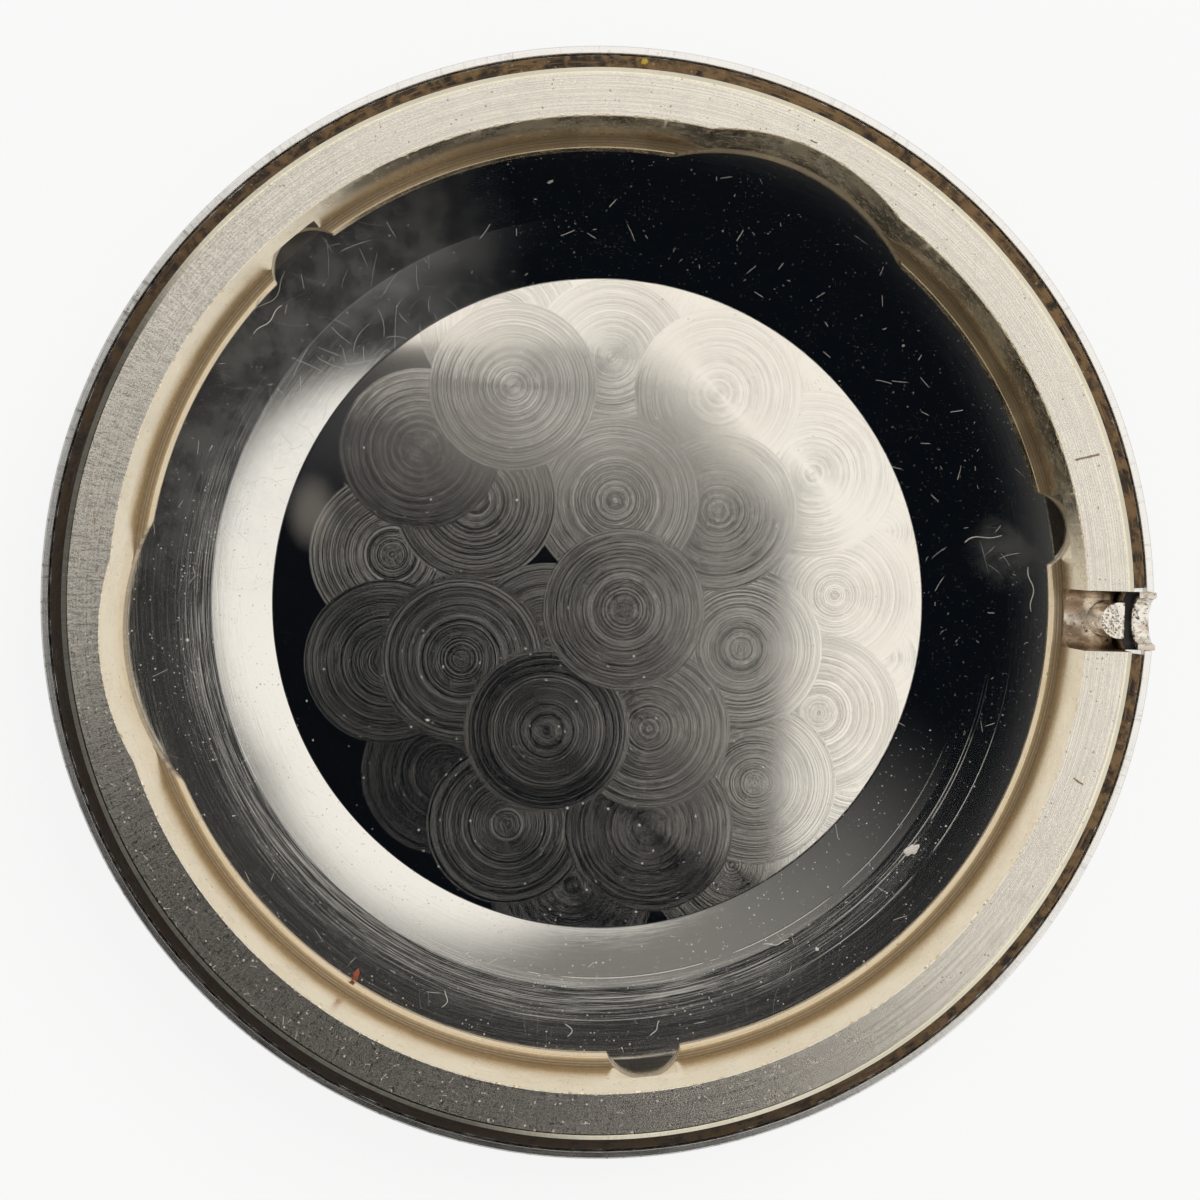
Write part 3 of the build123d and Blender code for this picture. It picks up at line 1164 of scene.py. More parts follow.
@dataclass(frozen=True)
class StemSlot:
    """Slot for the winding stem along +X, round at the bottom and open at the top.

    Columns of a turned grid are warped beside it, so that they follow its straight sides.
    """

    radius: float = 0.92
    axis_level: float = 3.7444
    reference: float = 16.0
    fade_degrees: float = 2.6
    across: int = 48
    warp_from: float = 12.0
    warp_full: float = 14.0

    def columns(self, windows: tuple[Triple, ...] = (), pitch: float = 0.5) -> np.ndarray:
        """Columns of a turned grid, all the way round from one side of the slot and then across it.

        Args:
            windows: Start, end and pitch, in degrees, of stretches that need finer columns.
            pitch: Degrees between columns elsewhere.

        Returns:
            One row for each column: bearing in radians, offset from the stem's plane, share of warp,
            and one where the column lies in the slot.
        """
        edge = np.degrees(np.arcsin(self.radius / self.reference))
        bearing = np.linspace(edge, 360 - edge, int(round((360 - 2 * edge) / pitch)) + 1)
        for start, end, step in windows:
            fine = np.linspace(start, end, int(round((end - start) / step)) + 1)
            bearing = np.concatenate([bearing[(bearing < start - step / 2) | (bearing > end + step / 2)], fine])
        bearing = np.sort(bearing)
        side = np.where(bearing < 180, bearing, bearing - 360)
        fade = np.clip(1 - (np.abs(side) - edge) / self.fade_degrees, 0, 1)
        outside = np.stack([np.radians(bearing), self.radius * np.sign(side), fade, np.zeros_like(fade)], -1)
        offset = self.radius * np.sin(np.linspace(-np.pi / 2, np.pi / 2, self.across + 1))
        ones = np.ones_like(offset)
        inside = np.stack([2 * np.pi + np.arcsin(offset / self.reference), offset, ones, ones], -1)
        return np.concatenate([outside, inside])

    def bearings(self, columns: np.ndarray, radius: np.ndarray) -> np.ndarray:
        """Bearing of each column at each radius: its own, plus its share of how the straight side turns away.

        Args:
            columns: What columns() gives.
            radius: Radius of each row.

        Returns:
            Bearings in radians, one row for each radius.
        """
        safe = np.maximum(radius, self.warp_from)[:, None]
        weight = np.clip((radius - self.warp_from) / (self.warp_full - self.warp_from), 0, 1)[:, None]
        offset = columns[None, :, 1]
        turn = np.arcsin(offset / safe) - np.arcsin(offset / self.reference)
        return columns[None, :, 0] + weight * columns[None, :, 2] * turn

    def cut(self, columns: np.ndarray, level: np.ndarray) -> np.ndarray:
        """Levels brought down to the slot's round bottom in the columns that lie in the slot."""
        bottom = self.axis_level - np.sqrt(np.maximum(self.radius**2 - columns[None, :, 1] ** 2, 0))
        return np.where(columns[None, :, 3] > 0, np.minimum(level, bottom), level)


class ShellZone(IntEnum):
    """Parts of the shell by finish."""

    CENTRE = 0
    DISH = 1
    WELL = 2
    LIP = 3
    OUTSIDE = 4
    CUT = 5


@dataclass
class BackShell:
    """The turned shell: grained centre, mirror dish, well for the ring, rebated lip, worn outside."""

    floor_level: float = 0.754
    floor_radius: float = 10.55
    bend_radius: float = 12.4855
    bend_level: float = 1.09528
    seat_radius: float = 15.33
    seat_level: float = 1.4244
    well_radius: float = 16.42
    well_corner: float = 0.25
    rebate_radius: float = 16.96
    rebate_level: float = 3.5544
    lip_radius: float = 17.2
    lip_level: float = 3.7444
    lip_edge: float = 0.05
    under_radius: float = 10.25
    under_slope: float = 8.0
    under_blend: float = 6.0
    shoulder: float = 1.6
    column_pitch: float = 0.62
    slot: StemSlot = field(default_factory=StemSlot)

    def profile(self) -> np.ndarray:
        """Radius and level from the middle of the floor, out over the lip, and back to the middle below.

        Returns:
            One row for each point.
        """
        rim = (self.lip_radius - self.under_radius) * math.tan(math.radians(self.under_slope))
        corners = [
            (0, self.floor_level), (self.floor_radius, self.floor_level), (self.bend_radius, self.bend_level),
            (self.seat_radius, self.seat_level), (self.well_radius - self.well_corner, self.seat_level),
            (self.well_radius, self.seat_level + self.well_corner), (self.well_radius, self.rebate_level),
            (self.rebate_radius, self.rebate_level), (self.rebate_radius, self.lip_level),
            (self.lip_radius - self.lip_edge, self.lip_level),
            (self.lip_radius, self.lip_level - self.lip_edge), (self.lip_radius, rim), (self.under_radius, 0),
            (0, 0),
        ]
        radii = [0, 0.5, 1.2, *[0.05] * 3, *[0.02] * 3, 0.03, 0.03, self.shoulder, self.under_blend, 0]
        return rounded_profile(corners, radii, steps=10)

    def zones(self, profile: np.ndarray) -> np.ndarray:
        """Zone of each band of faces between two points of the profile.

        Args:
            profile: What profile() gives.

        Returns:
            One zone for each band.
        """
        radius, level = 0.5 * (profile[1:] + profile[:-1]).T
        top = np.arange(len(radius)) < int(np.argmax(profile[:, 0] >= self.lip_radius - TINY))
        zone = np.full(len(radius), ShellZone.OUTSIDE)
        zone[top & (radius < self.floor_radius)] = ShellZone.CENTRE
        zone[top & (radius >= self.floor_radius) & (radius < self.seat_radius)] = ShellZone.DISH
        zone[top & (radius >= self.seat_radius)] = ShellZone.WELL
        zone[top & (radius >= self.well_radius) & (level > self.rebate_level - 0.01)] = ShellZone.LIP
        return zone

    def build(self, effects: Effects) -> Piece:
        """The shell as one closed surface.

        Each point lies at its column's bearing and its row's radius, and its level is the row's,
        brought down to the slot's bottom where the slot crosses the lip.

        Args:
            effects: The shared node groups.

        Returns:
            The piece.
        """
        profile = self.profile()
        columns = self.slot.columns(pitch=self.column_pitch)
        bearing = self.slot.bearings(columns, profile[:, 0])
        radius, own = profile[:, :1], np.repeat(profile[:, 1:], len(columns), 1)
        level = self.slot.cut(columns, own)
        zones = np.repeat(self.zones(profile)[:, None], len(columns), 1)
        lowered = (own - level > TINY) & (radius < self.lip_radius - 0.1)
        # Faces that the slot lowers below the lip are painted in shade (dark_cut).
        zones[lowered[1:] & lowered[:-1]] = ShellZone.CUT
        finishes = [
            RoundGraining().build(effects), MirrorDish().build(effects),
            TurnedBore(name="turned_well", film_share=0.7).build(effects), FiledLip().build(effects),
            WornOutside().build(effects), DarkHollow(name="dark_cut").build(effects),
        ]
        piece = make_piece(
            "turned_shell", spun(radius, bearing, level), grid_faces(len(profile), len(columns)),
            "back", finishes, zones.ravel(),
        )
        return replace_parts(piece, "back_shell")


class RingZone(IntEnum):
    """Parts of the casing ring by finish."""

    FACE = 0
    BORE = 1
    SLOT = 2
    OUTER = 3
    HOLLOW = 4


@dataclass
class CasingRing:
    """The casing ring: brushed face, bore with ledge, two scallops, three pockets and the stem's slot."""

    outer: float = 16.32
    bore: float = 14.83
    ledge: float = 14.5
    foot: float = 1.4444
    ledge_level: float = 1.8944
    top: float = 4.7444
    top_edge: float = 0.18
    foot_edge: float = 0.3
    relief: float = 0.05
    relief_height: float = 0.12
    scallops: tuple[Triple, ...] = ((66.0, 6.7, 0.45), (187.8, 7.5, 0.34))
    pockets: tuple[float, ...] = (11.2, 131.9, 277.3)
    nicks: tuple[tuple[float, float, float, float, float], ...] = (
        (14.67, 4.96, 14.7, 0.42, 0.045), (14.73, -4.91, -33.0, 0.2, 0.04), (5.43, 14.20, -20.0, 0.17, 0.04),
        (5.83, 14.10, -24.0, 0.19, 0.045), (6.22, 13.86, -28.0, 0.15, 0.04), (6.70, 13.64, -33.0, 0.17, 0.045),
        (6.08, 14.22, -25.0, 0.13, 0.03), (6.1, 14.95, 75.0, 0.14, 0.03), (-15.3, 2.2, 80.0, 0.12, 0.04),
    )
    pocket_radius: float = 1.27
    pocket_reach: float = 0.46
    pocket_height: float = 1.8
    pocket_window: float = 5.0
    face_rows: int = 14
    column_pitch: float = 0.3
    fine_pitch: float = 0.1
    nick: float = 0.05
    nick_pitch: float = 0.28
    nick_floor: float = 0.35
    bore_edge: float = 0.035
    slot: StemSlot = field(default_factory=lambda: StemSlot(axis_level=2.9944))

    @staticmethod
    def cutter(bearing: np.ndarray, direction: float, distance: float, radius: float) -> np.ndarray:
        """How far out a round cutter reaches at each bearing.

        It is where the ray at that bearing leaves the circle: distance times the cosine of the angle
        between them, plus the root of radius squared less distance times the sine, squared.

        Args:
            bearing: Bearings in radians.
            direction: The cutter's direction in degrees.
            distance: Distance of its middle from the axis.
            radius: Its radius.

        Returns:
            The reach at each bearing, nought where the ray misses the cutter.
        """
        turn = bearing - math.radians(direction)
        inside = radius**2 - (distance * np.sin(turn)) ** 2
        reach = distance * np.cos(turn) + np.sqrt(np.maximum(inside, 0))
        return np.where((inside > 0) & (np.cos(turn) > 0), reach, 0.0)

    def scalloped(self, bearing: np.ndarray) -> np.ndarray:
        """Reach of the two scallops at each bearing."""
        spots = [(turn, self.bore + reach - radius, radius) for turn, radius, reach in self.scallops]
        return np.maximum(*(self.cutter(bearing, *spot) for spot in spots))

    def pocketed(self, bearing: np.ndarray) -> np.ndarray:
        """Reach of the three pockets at each bearing."""
        distance = self.bore + self.pocket_reach - self.pocket_radius
        cuts = [self.cutter(bearing, turn, distance, self.pocket_radius) for turn in self.pockets]
        return np.maximum.reduce(cuts)

    def outside_profile(self) -> np.ndarray:
        """Radius and level up the outside, from the foot to the face.

        Returns:
            One row for each point.
        """
        foot_in, face_in = self.outer - self.foot_edge, self.outer - self.top_edge
        corners = [
            (foot_in - 0.02, self.foot), (foot_in, self.foot), (self.outer, self.foot + self.foot_edge),
            (self.outer, self.top - self.top_edge), (face_in, self.top), (face_in - 0.05, self.top),
        ]
        return rounded_profile(corners, [0, 0.03, 0.03, 0.03, 0.05, 0], steps=6)

    def bore_profile(self, ceiling: float) -> np.ndarray:
        """Radius and level down the bore, from its rounded edge past the pockets' ceiling and over the ledge.

        Args:
            ceiling: Level of the pockets' ceiling.

        Returns:
            One row for each point.
        """
        relief, relief_top = self.bore + self.relief, self.ledge_level + self.relief_height
        return np.array([
            (self.bore + 0.014, self.top - 0.012), (self.bore + 0.004, self.top - 0.03),
            (self.bore, self.top - 0.055), (self.bore, self.top - 0.1), (self.bore, ceiling + 0.05),
            (self.bore, ceiling), (self.bore, ceiling), (self.bore, relief_top), (relief, relief_top),
            (relief, self.ledge_level), (self.ledge + 0.03, self.ledge_level),
            (self.ledge + 0.01, self.ledge_level - 0.01), (self.ledge, self.ledge_level - 0.03),
            (self.ledge, self.foot),
        ])

    def build(self, effects: Effects) -> Piece:
        """The ring as one closed surface.

        Rows run up the outside, in over the face, down the bore and back over the foot. A row's radius
        on the bore is the larger of its own and the cutters' reach; across the face and the foot it
        follows the inner edge by its share of the way in.

        Args:
            effects: The shared node groups.

        Returns:
            The piece.
        """
        ceiling = self.foot + self.pocket_height
        outside, bore = self.outside_profile(), self.bore_profile(ceiling)
        face = np.linspace(outside[-1, 0], self.bore + self.bore_edge, self.face_rows)[1:]
        foot = np.linspace(self.ledge, outside[0, 0], 5)[1:-1]
        radius = np.concatenate([outside[:, 0], face, bore[:, 0], foot])
        tops, feet = np.full(len(face), self.top), np.full(len(foot), self.foot)
        level = np.concatenate([outside[:, 1], tops, bore[:, 1], feet])
        inner_face = np.clip((outside[-1, 0] - radius) / (outside[-1, 0] - self.bore - self.bore_edge), 0, 1)
        inner_foot = np.clip((outside[0, 0] - radius) / (outside[0, 0] - self.ledge), 0, 1)
        first_bore = len(outside) + len(face)
        order = np.arange(len(radius))[:, None]
        on_face, on_bore = order < first_bore, (order >= first_bore) & (order < first_bore + len(bore))
        edge_rows = (order >= first_bore - 1) & (order < first_bore + 3)
        half = self.pocket_window
        windows = tuple((turn - half, turn + half, self.fine_pitch) for turn in self.pockets)
        columns = self.slot.columns(windows, self.column_pitch)
        bearing = self.slot.bearings(columns, radius)
        edge = np.stack([np.cos(bearing[0]), np.sin(bearing[0])], -1) * self.bore
        nicks = wave_field(edge, self.nick_pitch, 40, 5)
        nicks = self.nick * np.maximum(nicks - self.nick_floor, 0) * (columns[:, 3] == 0)
        pockets = np.where(order >= first_bore + 6, self.pocketed(bearing), 0.0)
        cuts = np.maximum(self.scalloped(bearing), pockets)
        own, flat = (np.repeat(part[:, None], len(columns), 1) for part in (radius, level))
        rounded = (own - self.bore) * (own > self.bore) * (flat > ceiling)
        direct = np.maximum(own, cuts + rounded) + nicks[None] * edge_rows
        face_edge = np.maximum(self.bore, self.scalloped(bearing)) - self.bore
        foot_edge = np.maximum(self.ledge, cuts) - self.ledge
        followed = own + np.where(on_face, inner_face[:, None] * face_edge, inner_foot[:, None] * foot_edge)
        height = self.slot.cut(columns, flat)
        zones = np.full(own.shape, RingZone.BORE)
        zones[: len(outside) - 1] = RingZone.OUTER
        zones[len(outside) - 1: first_bore] = RingZone.FACE
        cut_away = flat - height > TINY
        cut_away = cut_away | np.roll(cut_away, -1, 0)
        zones[cut_away | np.roll(cut_away, -1, 1)] = RingZone.SLOT
        # The pockets' ceiling row is painted in shade.
        zones[first_bore + 5] = RingZone.HOLLOW
        filed = PittedSteel(
            name="filed_slot", steel=(0.92, 0.83, 0.72), rust=(0.26, 0.16, 0.09), dirt_share=0.75,
            rust_low=0.47, side_share=0.85,
        )
        # The outer chamfer is painted deep in shade on the side with lines across.
        brushed = BrushedFace(
            name="brushed_outer", steel=(0.95, 0.88, 0.70), contrast=0.2, spread=0.3, roughness=0.16,
            line_depth=0.0008, shaded=0.86,
        )
        finishes = [BrushedFace(nicks=self.nicks), TurnedBore(), filed, brushed, DarkHollow()]
        piece = make_piece(
            "casing_ring_turned", spun(np.where(on_bore, direct, followed), bearing, height),
            grid_faces(len(radius), len(columns), closed_rows=True), "casing_ring",
            [finish.build(effects) for finish in finishes], zones.ravel(),
        )
        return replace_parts(piece, "movement_ring")


@dataclass
class StemRest:
    """Pitted block in the outer end of the slot, a D in plan with its round end inwards."""

    inner: float = 15.56
    outer: float = 16.28
    half_width: float = 0.565
    top: float = 3.7444
    slot_radius: float = 0.9
    axis_level: float = 2.9944
    around: int = 180
    rows: int = 26
    pit_count: int = 46
    pit_depth: float = 0.06
    pit_reach: tuple[float, float] = (0.42, 0.6)
    pit_widths: tuple[float, float] = (0.02, 0.07)
    set_down: float = 0.012
    swell: float = 0.01
    edge_drop: float = 0.02
    crown_share: float = 0.985

    def outline(self) -> np.ndarray:
        """The D: a half circle round its inner end, then straight sides to the flat outer end, by equal steps.

        Returns:
            Places in plan, one in each row.
        """
        middle = self.inner + self.half_width
        turn = np.linspace(np.pi / 2, 3 * np.pi / 2, 60)
        bend = np.stack([middle + self.half_width * np.cos(turn), self.half_width * np.sin(turn)], -1)
        corners = [bend[-1], (self.outer, -self.half_width), (self.outer, self.half_width), bend[0]]
        loop = np.concatenate([bend, rounded_profile(corners, [0, 0.05, 0.05, 0], steps=6)[1:-1], bend[:1]])
        gone = np.r_[0, np.cumsum(np.linalg.norm(np.diff(loop, axis=0), axis=1))]
        at = np.linspace(0, gone[-1], self.around, endpoint=False)
        return np.stack([np.interp(at, gone, loop[:, 0]), np.interp(at, gone, loop[:, 1])], -1)

    def build(self, effects: Effects) -> Piece:
        """The block as one closed surface.

        Rows grow from a point on top out to the outline and shrink again below. The top is level less
        the pits; the underside follows the slot's round, the axis level less the root of its radius
        squared less the offset squared.

        Args:
            effects: The shared node groups.

        Returns:
            The piece.
        """
        outline = self.outline()
        centre = np.array([0.5 * (self.inner + self.outer), 0.0])
        grow = np.sin(np.linspace(0, np.pi / 2, self.rows))
        share = np.concatenate([grow * self.crown_share, [1.0, 1.0], grow[::-1]])
        flat = centre + share[:, None, None] * (outline - centre)[None]
        draw = np.random.default_rng(8)
        place = centre + draw.uniform(-1, 1, (self.pit_count, 2)) * self.pit_reach
        pits = pit_field(flat.reshape(-1, 2), place, draw.uniform(*self.pit_widths, self.pit_count))
        top = self.top - self.set_down - self.pit_depth * pits.reshape(flat.shape[:2])
        top = top + self.swell * wave_field(flat, 0.35, 12, 3)
        bottom = self.axis_level - np.sqrt(self.slot_radius**2 - flat[..., 1] ** 2)
        upper = np.arange(len(share)) <= self.rows
        level = np.where(upper[:, None], top - self.edge_drop * (share[:, None] > 0.99), bottom)
        points = np.concatenate([flat, level[..., None]], -1)
        piece = make_piece(
            "stem_rest_pitted", points, grid_faces(len(share), self.around), "casing_ring",
            [PittedSteel().build(effects)], sharp=30.0,
        )
        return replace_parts(piece, "stem_rest")


@dataclass
class StemTubeHalf:
    """Lower half of a tube, with an uneven filed surface."""

    start: float = 16.72
    end: float = 17.25
    outer: float = 0.9
    inner: float = 0.72
    axis_level: float = 3.7444
    around: int = 64
    along: int = 30
    rough_share: float = 0.018

    def build(self, effects: Effects) -> Piece:
        """The stub as one closed surface.

        Round the section, points run over the inner half circle and back over the outer one; along the
        stem the section keeps its shape, and waves a few hundredths deep roughen it.

        Args:
            effects: The shared node groups.

        Returns:
            The piece.
        """
        turn = np.linspace(np.pi, 2 * np.pi, self.around)
        half = np.stack([np.cos(turn), np.sin(turn)], -1)
        section = np.concatenate([self.inner * half, self.outer * half[::-1]])
        along = np.linspace(self.start, self.end, self.along)
        pull = np.concatenate([[0.03, 0.01], np.zeros(self.along - 4), [0.01, 0.03]])
        middle = 0.5 * (self.outer + self.inner)
        size = np.linalg.norm(section, axis=1)
        thin = 1 + (middle - size)[None, :] / size[None, :] * pull[:, None] * 8
        y, z = thin * section[None, :, 0], thin * section[None, :, 1]
        x = np.repeat(along[:, None], section.shape[0], 1)
        rough = wave_field(np.stack([x, y, z], -1), 0.22, 24, 11)
        inside = (np.arange(len(section)) < self.around)[None]
        y, z = (part * (1 + np.where(inside, self.rough_share, 0.0) * rough) for part in (y, z))
        points = np.stack([x, y, np.minimum(self.axis_level + z, self.axis_level)], -1)
        finish = PittedSteel(name="pitted_tube", dirt_share=0.75, roughness=0.22).build(effects)
        piece = make_piece(
            "stem_tube_filed", points, capped_faces(self.along, len(section)), "back", [finish],
            sharp=35.0,
        )
        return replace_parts(piece, "stem_tube_half")


@dataclass
class SealingRing:
    """Sealing ring in the lip's rebate, dried out and a little uneven, open at the stem."""

    inner: float = 16.45
    outer: float = 16.91
    bottom: float = 3.5744
    top: float = 3.7744
    opening: float = 1.02
    corner: float = 0.06
    around: int = 1100
    draw_share: float = 0.10
    fine_share: float = 0.03
    sink_depth: float = 0.025
    fine_depth: float = 0.006

    def build(self, effects: Effects) -> Piece:
        """The ring as one closed surface.

        A rounded rectangle is carried round the axis from one side of the stem to the other. Its top
        sinks and its sides draw in by uneven waves, so that it stays inside its own box.

        Args:
            effects: The shared node groups.

        Returns:
            The piece.
        """
        middle = 0.5 * (self.inner + self.outer)
        corners = [
            (middle, self.bottom), (self.outer, self.bottom), (self.outer, self.top), (self.inner, self.top),
            (self.inner, self.bottom), (middle, self.bottom),
        ]
        section = rounded_profile(corners, [0] + [self.corner] * 4 + [0], steps=5)[:-1]
        lead = math.asin(self.opening / middle)
        bearing = np.linspace(lead, 2 * math.pi - lead, self.around)
        ring = np.stack([np.cos(bearing), np.sin(bearing)], -1)
        sink = 0.5 + 0.5 * wave_field(ring * middle, 1.1, 30, 21)
        draw_in = 0.5 + 0.5 * wave_field(ring * middle, 0.7, 30, 22)
        fine = wave_field(ring * middle, 0.25, 30, 23)
        own, level = section.T[:, None]
        radius = own + (middle - own) * (self.draw_share * draw_in + self.fine_share * fine)[:, None]
        high = np.clip((level - self.bottom) / (self.top - self.bottom), 0, 1)
        sunk = self.sink_depth * np.clip(sink, 0, 1.3) + self.fine_depth * np.abs(fine)
        level = level - high * sunk[:, None]
        piece = make_piece(
            "sealing_ring_aged", spun(radius, bearing[:, None], level), capped_faces(self.around, len(section)),
            "seal", [AgedSeal().build(effects)], sharp=35.0,
        )
        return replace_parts(piece, "sealing_gasket")


class Fleck(Enum):
    """Kinds of loose dirt."""

    FLAKE = "flake"
    FIBRE = "fibre"


@dataclass(frozen=True)
class Speck:
    """One flake or fibre: where it lies, its length, how it points and bends, and its tone."""

    kind: Fleck
    right: float
    up: float
    level: float
    length: float
    bearing: float = 0.0
    bend: float = 0.0
    tone: FleckTone = FleckTone.PALE

    def flake(self) -> tuple[np.ndarray, list]:
        """Flat crumb: an uneven outline at two levels, closed by a point above and one below.

        Returns:
            Points and faces.
        """
        turn = np.linspace(0, 2 * np.pi, FLAKE_POINTS, endpoint=False)
        draw = np.random.default_rng(int(1000 * abs(self.right) + 10 * abs(self.up)))
        wave = 1 + 0.28 * np.sin(2 * turn + draw.uniform(0, 6)) + 0.16 * np.sin(5 * turn + draw.uniform(0, 6))
        loop = 0.5 * self.length * np.stack([wave * np.cos(turn), 0.62 * wave * np.sin(turn)], -1)
        rows = np.array([[0.0, 0.0], [1.0, 0.0], [1.0, 0.02], [0.8, 0.045], [0.0, 0.05]])
        levels = np.repeat(rows[:, 1:, None], FLAKE_POINTS, 1)
        points = np.concatenate([rows[:, :1, None] * loop[None], levels], -1)
        return points.reshape(-1, 3), grid_faces(len(rows), FLAKE_POINTS).tolist()

    def fibre(self) -> tuple[np.ndarray, list]:
        """Thin thread: a six-sided tube along an arc with a slight wave, closed at both ends.

        Returns:
            Points and faces.
        """
        at = np.linspace(-0.5, 0.5, FIBRE_ROWS)
        heading = self.bend * at + 0.35 * np.sin(9 * at)
        pace = self.length / (FIBRE_ROWS - 1)
        path = np.stack([np.cumsum(np.cos(heading)), np.cumsum(np.sin(heading))], -1) * pace
        path -= path[len(path) // 2]
        around = np.linspace(0, 2 * np.pi, FIBRE_SIDES, endpoint=False)
        thick = FIBRE_THICKNESS * np.sqrt(np.clip(1 - (2 * at) ** 6, 0.04, 1))
        wide, high = thick[:, None] * np.cos(around), FIBRE_LIFT + thick[:, None] * np.sin(around)
        side = np.stack([-np.sin(heading), np.cos(heading)], -1)[:, None] * wide[..., None]
        points = np.concatenate([path[:, None] + side, high[..., None]], -1)
        return points.reshape(-1, 3), capped_faces(FIBRE_ROWS, FIBRE_SIDES)

    def placed(self) -> tuple[np.ndarray, list]:
        """The body turned to its bearing and moved to its place.

        Returns:
            Points and faces.
        """
        points, faces = self.flake() if self.kind is Fleck.FLAKE else self.fibre()
        turn = math.radians(self.bearing)
        spin = np.array([[math.cos(turn), math.sin(turn), 0], [-math.sin(turn), math.cos(turn), 0], [0, 0, 1]])
        return points @ spin + [self.right, self.up, self.level], faces


@dataclass
class LooseDirt:
    """Flakes and fibres that lie on the dish and on the sealing ring."""

    specks: tuple[Speck, ...] = (
        Speck(Fleck.FLAKE, -7.50, -12.18, 1.335, 0.34, 55.0, tone=FleckTone.RED),
        Speck(Fleck.FLAKE, 0.94, 16.72, 3.775, 0.26, 80.0, tone=FleckTone.AMBER),
        Speck(Fleck.FLAKE, 10.38, -7.70, 1.150, 0.50, 52.0),
        Speck(Fleck.FLAKE, 7.4, -11.0, 1.20, 0.14, 10.0),
        Speck(Fleck.FLAKE, -13.2, -1.5, 1.20, 0.13, 40.0),
        Speck(Fleck.FLAKE, 9.6, 8.6, 1.155, 0.10, 70.0, tone=FleckTone.GREY),
        Speck(Fleck.FLAKE, -1.9, 13.5, 1.235, 0.16, 20.0, tone=FleckTone.GREY),
        Speck(Fleck.FIBRE, -4.54, -12.98, 1.250, 0.75, 75.0, 1.6),
        Speck(Fleck.FIBRE, -0.48, -13.82, 1.258, 0.62, 95.0, 2.6),
        Speck(Fleck.FIBRE, 2.26, -13.74, 1.262, 0.66, 60.0, 0.6),
        Speck(Fleck.FIBRE, 6.1, -10.9, 1.165, 0.9, 12.0, 0.5),
        Speck(Fleck.FIBRE, -10.55, 9.60, 1.325, 2.0, 52.0, 0.9, FleckTone.GREY),
        Speck(Fleck.FIBRE, -10.75, 8.80, 1.285, 1.35, 47.0, 0.1, FleckTone.PALE),
        Speck(Fleck.FIBRE, 12.70, 2.50, 1.160, 1.9, 6.0, -0.9),
        Speck(Fleck.FIBRE, 14.03, 0.90, 1.285, 1.5, 96.0, 0.3),
        Speck(Fleck.FIBRE, -13.0, 0.6, 1.190, 0.6, 80.0, 1.2, FleckTone.GREY),
    )

    def build(self) -> Piece:
        """All of the flakes and fibres as one piece, with a material for each tone.

        Returns:
            The piece.
        """
        tones = list(FleckTone)
        points, faces, indices, count = [], [], [], 0
        for speck in self.specks:
            body, sides = speck.placed()
            points.append(body)
            faces += [[count + corner for corner in side] for side in sides]
            indices += [tones.index(speck.tone)] * len(sides)
            count += len(body)
        finishes = [LooseFleck(tone).build() for tone in tones]
        return make_piece(
            "loose_dirt", np.concatenate(points), faces, "back", finishes, indices, sharp=50.0
        )


# Studio


def studio_piece(name: str, points: Any, faces: Any, material: Material) -> Piece:
    """Object of the studio, from points in millimetres.

    Args:
        name: The object's name.
        points: Vertices, one in each row.
        faces: Vertex numbers of each face.
        material: Its one material.

    Returns:
        The new object.
    """
    mesh = bpy.data.meshes.new(name)
    mesh.from_pydata((points * MM).tolist(), [], faces)
    mesh.materials.append(material)
    return put_in_scene(name, mesh)


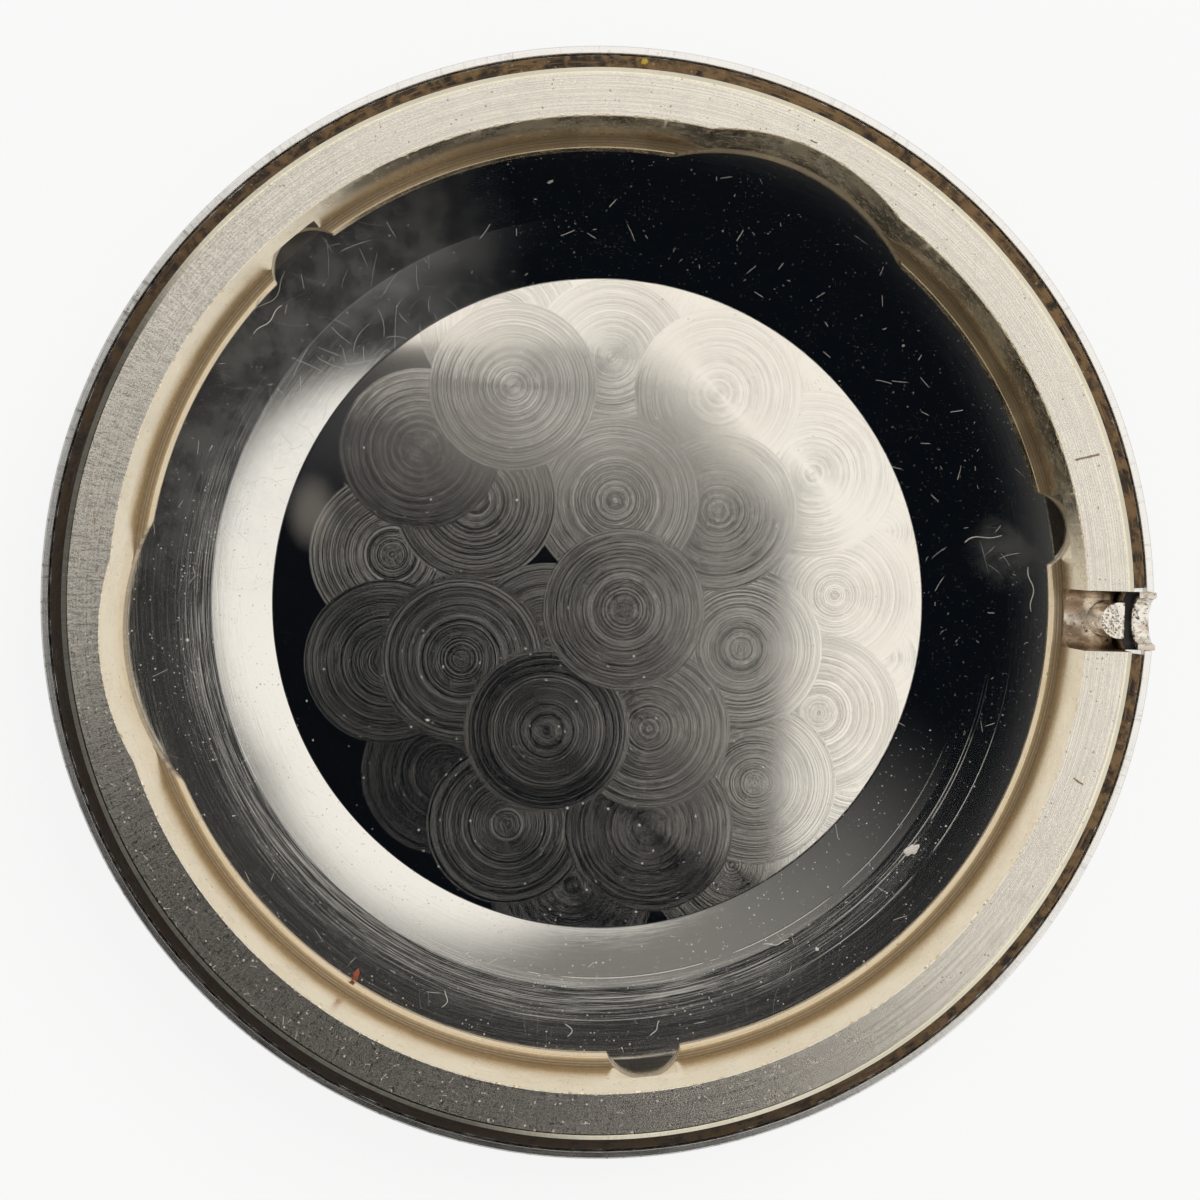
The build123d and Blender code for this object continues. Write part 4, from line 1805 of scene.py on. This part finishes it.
@dataclass
class Studio:
    """Pale floor, soft light, the dark flag that the polished steel mirrors, and the camera."""

    eye: Triple = (-0.599, 1.640, 59.727)
    aim: Triple = (0.012, 0.234, 4.744)
    roll: float = 1.55
    focal_pixels: float = 1815.0
    sensor: float = 36.0
    floor_reach: float = 600.0
    flag_level: float = 600.0
    key_place: Triple = (280.0, 340.0, 450.0)
    key_watts: float = 1.3
    key_size: float = 350.0

    def camera(self) -> Piece:
        """Camera of the photograph: straight above, its image's right turned a little from the stem.

        Returns:
            The camera.
        """
        data = bpy.data.cameras.new("photo_camera")
        data.sensor_width = self.sensor
        data.sensor_fit = "HORIZONTAL"
        data.lens = self.focal_pixels * self.sensor / PHOTO_PIXELS
        data.clip_start = 1.0 * MM
        data.clip_end = 10.0
        camera = put_in_scene("photo_camera", data)
        eye, aim = Vector(self.eye) * MM, Vector(self.aim) * MM
        forward = (aim - eye).normalized()
        turn = math.radians(self.roll)
        right = forward.cross(Vector((-math.sin(turn), math.cos(turn), 0.0))).normalized()
        up = right.cross(forward)
        camera.matrix_world = Matrix.Translation(eye) @ Matrix((right, up, -forward)).transposed().to_4x4()
        bpy.context.scene.camera = camera
        return camera

    def world(self) -> None:
        """White room: white to the camera, a little warmer to the metal, softer to dull surfaces."""
        world = bpy.data.worlds.new("white_room")
        bpy.context.scene.world = world
        graph = Graph(bare_tree(world))
        path = graph.add("ShaderNodeLightPath")
        seen = graph.mix(path.outputs["Is Glossy Ray"], (0.62, 0.62, 0.62), WARM_WHITE)
        seen = graph.mix(path.outputs["Is Camera Ray"], seen, (1.0, 1.0, 1.0))
        graph.show(graph.add("ShaderNodeBackground", {"Color": seen, "Strength": 1.0}), "ShaderNodeOutputWorld")

    def floor(self) -> Piece:
        """Pale floor, a wide square of four faces, nearly white to the camera but for its shadow.

        Returns:
            The floor.
        """
        side = np.linspace(-self.floor_reach, self.floor_reach, 3)
        points = np.stack([*np.meshgrid(side, side), np.zeros((3, 3))], -1).reshape(-1, 3)
        material = bpy.data.materials.new("pale_floor")
        graph = Graph(bare_tree(material))
        paper = graph.add("ShaderNodeBsdfDiffuse", {"Color": (0.86, 0.86, 0.85)})
        glow = graph.add("ShaderNodeEmission", {"Color": (1.0, 1.0, 1.0), "Strength": 1.0})
        path = graph.add("ShaderNodeLightPath")
        share = graph.math("MULTIPLY", path.outputs["Is Camera Ray"], 0.82)
        graph.show(graph.add("ShaderNodeMixShader", {0: share, 1: paper.outputs[0], 2: glow.outputs[0]}))
        floor = studio_piece("floor", points, grid_faces(3, 3, closed_columns=False)[:, ::-1].tolist(), material)
        return floor

    def flag_grey(self) -> Material:
        """The flag's grey.

        It is light near the top edge, falls to nearly black at the middle, rises again towards the
        right edge and fades into the white room over the cut upper right corner.

        Returns:
            The material.
        """
        material = bpy.data.materials.new("dark_flag")
        graph = Graph(bare_tree(material))
        place = graph.out("ShaderNodeTexCoord", {}, "Object", True).scaled(1.0 / MM)
        right, up, _ = place.parts()
        band = graph.mix(right.step(-95.0, -15.0), (0.04, 0.04, 0.045), (0.22, 0.216, 0.205))
        grey = graph.mix(up.step(6.0, 50.0), (0.003, 0.004, 0.006), band)
        strip = right.step(18.0, 40.0) * right.step(50.0, 57.0, 1.0, 0.0) * up.step(-100.0, -68.0)
        grey = graph.mix(strip * 0.10, grey, (0.9, 0.9, 0.88))
        faded = (right + up).step(80.0, 108.0) | right.step(67.0, 82.0) * up.step(-125.0, -105.0)
        grey = graph.mix(faded, grey, WARM_WHITE)
        left = right.step(-165.0, -135.0, 1.0, 0.0) * up.step(-75.0, -30.0)
        grey = graph.mix(left, grey, (0.26, 0.26, 0.25))
        graph.show(graph.add("ShaderNodeEmission", {"Color": grey, "Strength": 1.0}))
        return material

    def flag(self) -> Piece:
        """Dark flag high above, which only mirrors see, with a wide foot towards the lower left.

        Returns:
            The flag.
        """
        corners = [
            (-140, 77), (96, 77), (96, -120), (350, -620), (-640, -170), (-225, -40), (-225, 77), (-140, 77),
        ]
        outline = rounded_profile(corners, [0, 9, 30, 20, 20, 20, 20, 0], support=1.0)
        turn = math.radians(self.roll)
        flat = outline[:-1] @ np.array([[math.cos(turn), math.sin(turn)], [-math.sin(turn), math.cos(turn)]])
        points = np.concatenate([flat, np.full((len(flat), 1), self.flag_level)], 1)
        flag = studio_piece("dark_flag", points, [list(range(len(points)))], self.flag_grey())
        for sort in ("camera", "diffuse", "shadow", "transmission"):
            setattr(flag, f"visible_{sort}", False)
        return flag

    def key(self) -> Piece:
        """Soft lamp from the upper right, which lights dull surfaces and isn't mirrored.

        Returns:
            The lamp.
        """
        data = bpy.data.lights.new("soft_key", "AREA")
        data.shape = "DISK"
        data.size = self.key_size * MM
        data.energy = self.key_watts
        data.color = (1.0, 0.97, 0.93)
        lamp = put_in_scene("soft_key", data)
        lamp.location = Vector(self.key_place) * MM
        lamp.rotation_euler = (-lamp.location).to_track_quat("-Z", "Y").to_euler()
        lamp.visible_glossy = False
        return lamp

    def build(self) -> None:
        """Camera and everything round the object, with the plain view transform."""
        bpy.context.scene.view_settings.view_transform = "Standard"
        for part in (self.camera, self.world, self.floor, self.flag, self.key):
            part()


def main() -> None:
    """Builds the studio and the pieces in order, and reports each."""
    logging.basicConfig(level=logging.INFO, format="%(name)s: %(message)s")
    Studio().build()
    effects = Effects()
    for assembly in (BackShell(), StemTubeHalf(), CasingRing(), StemRest(), SealingRing()):
        piece = assembly.build(effects)
        log.info("%s stands for %s", piece.name, ", ".join(piece["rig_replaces"]))
    LooseDirt().build()


if __name__ == "__main__":
    main()
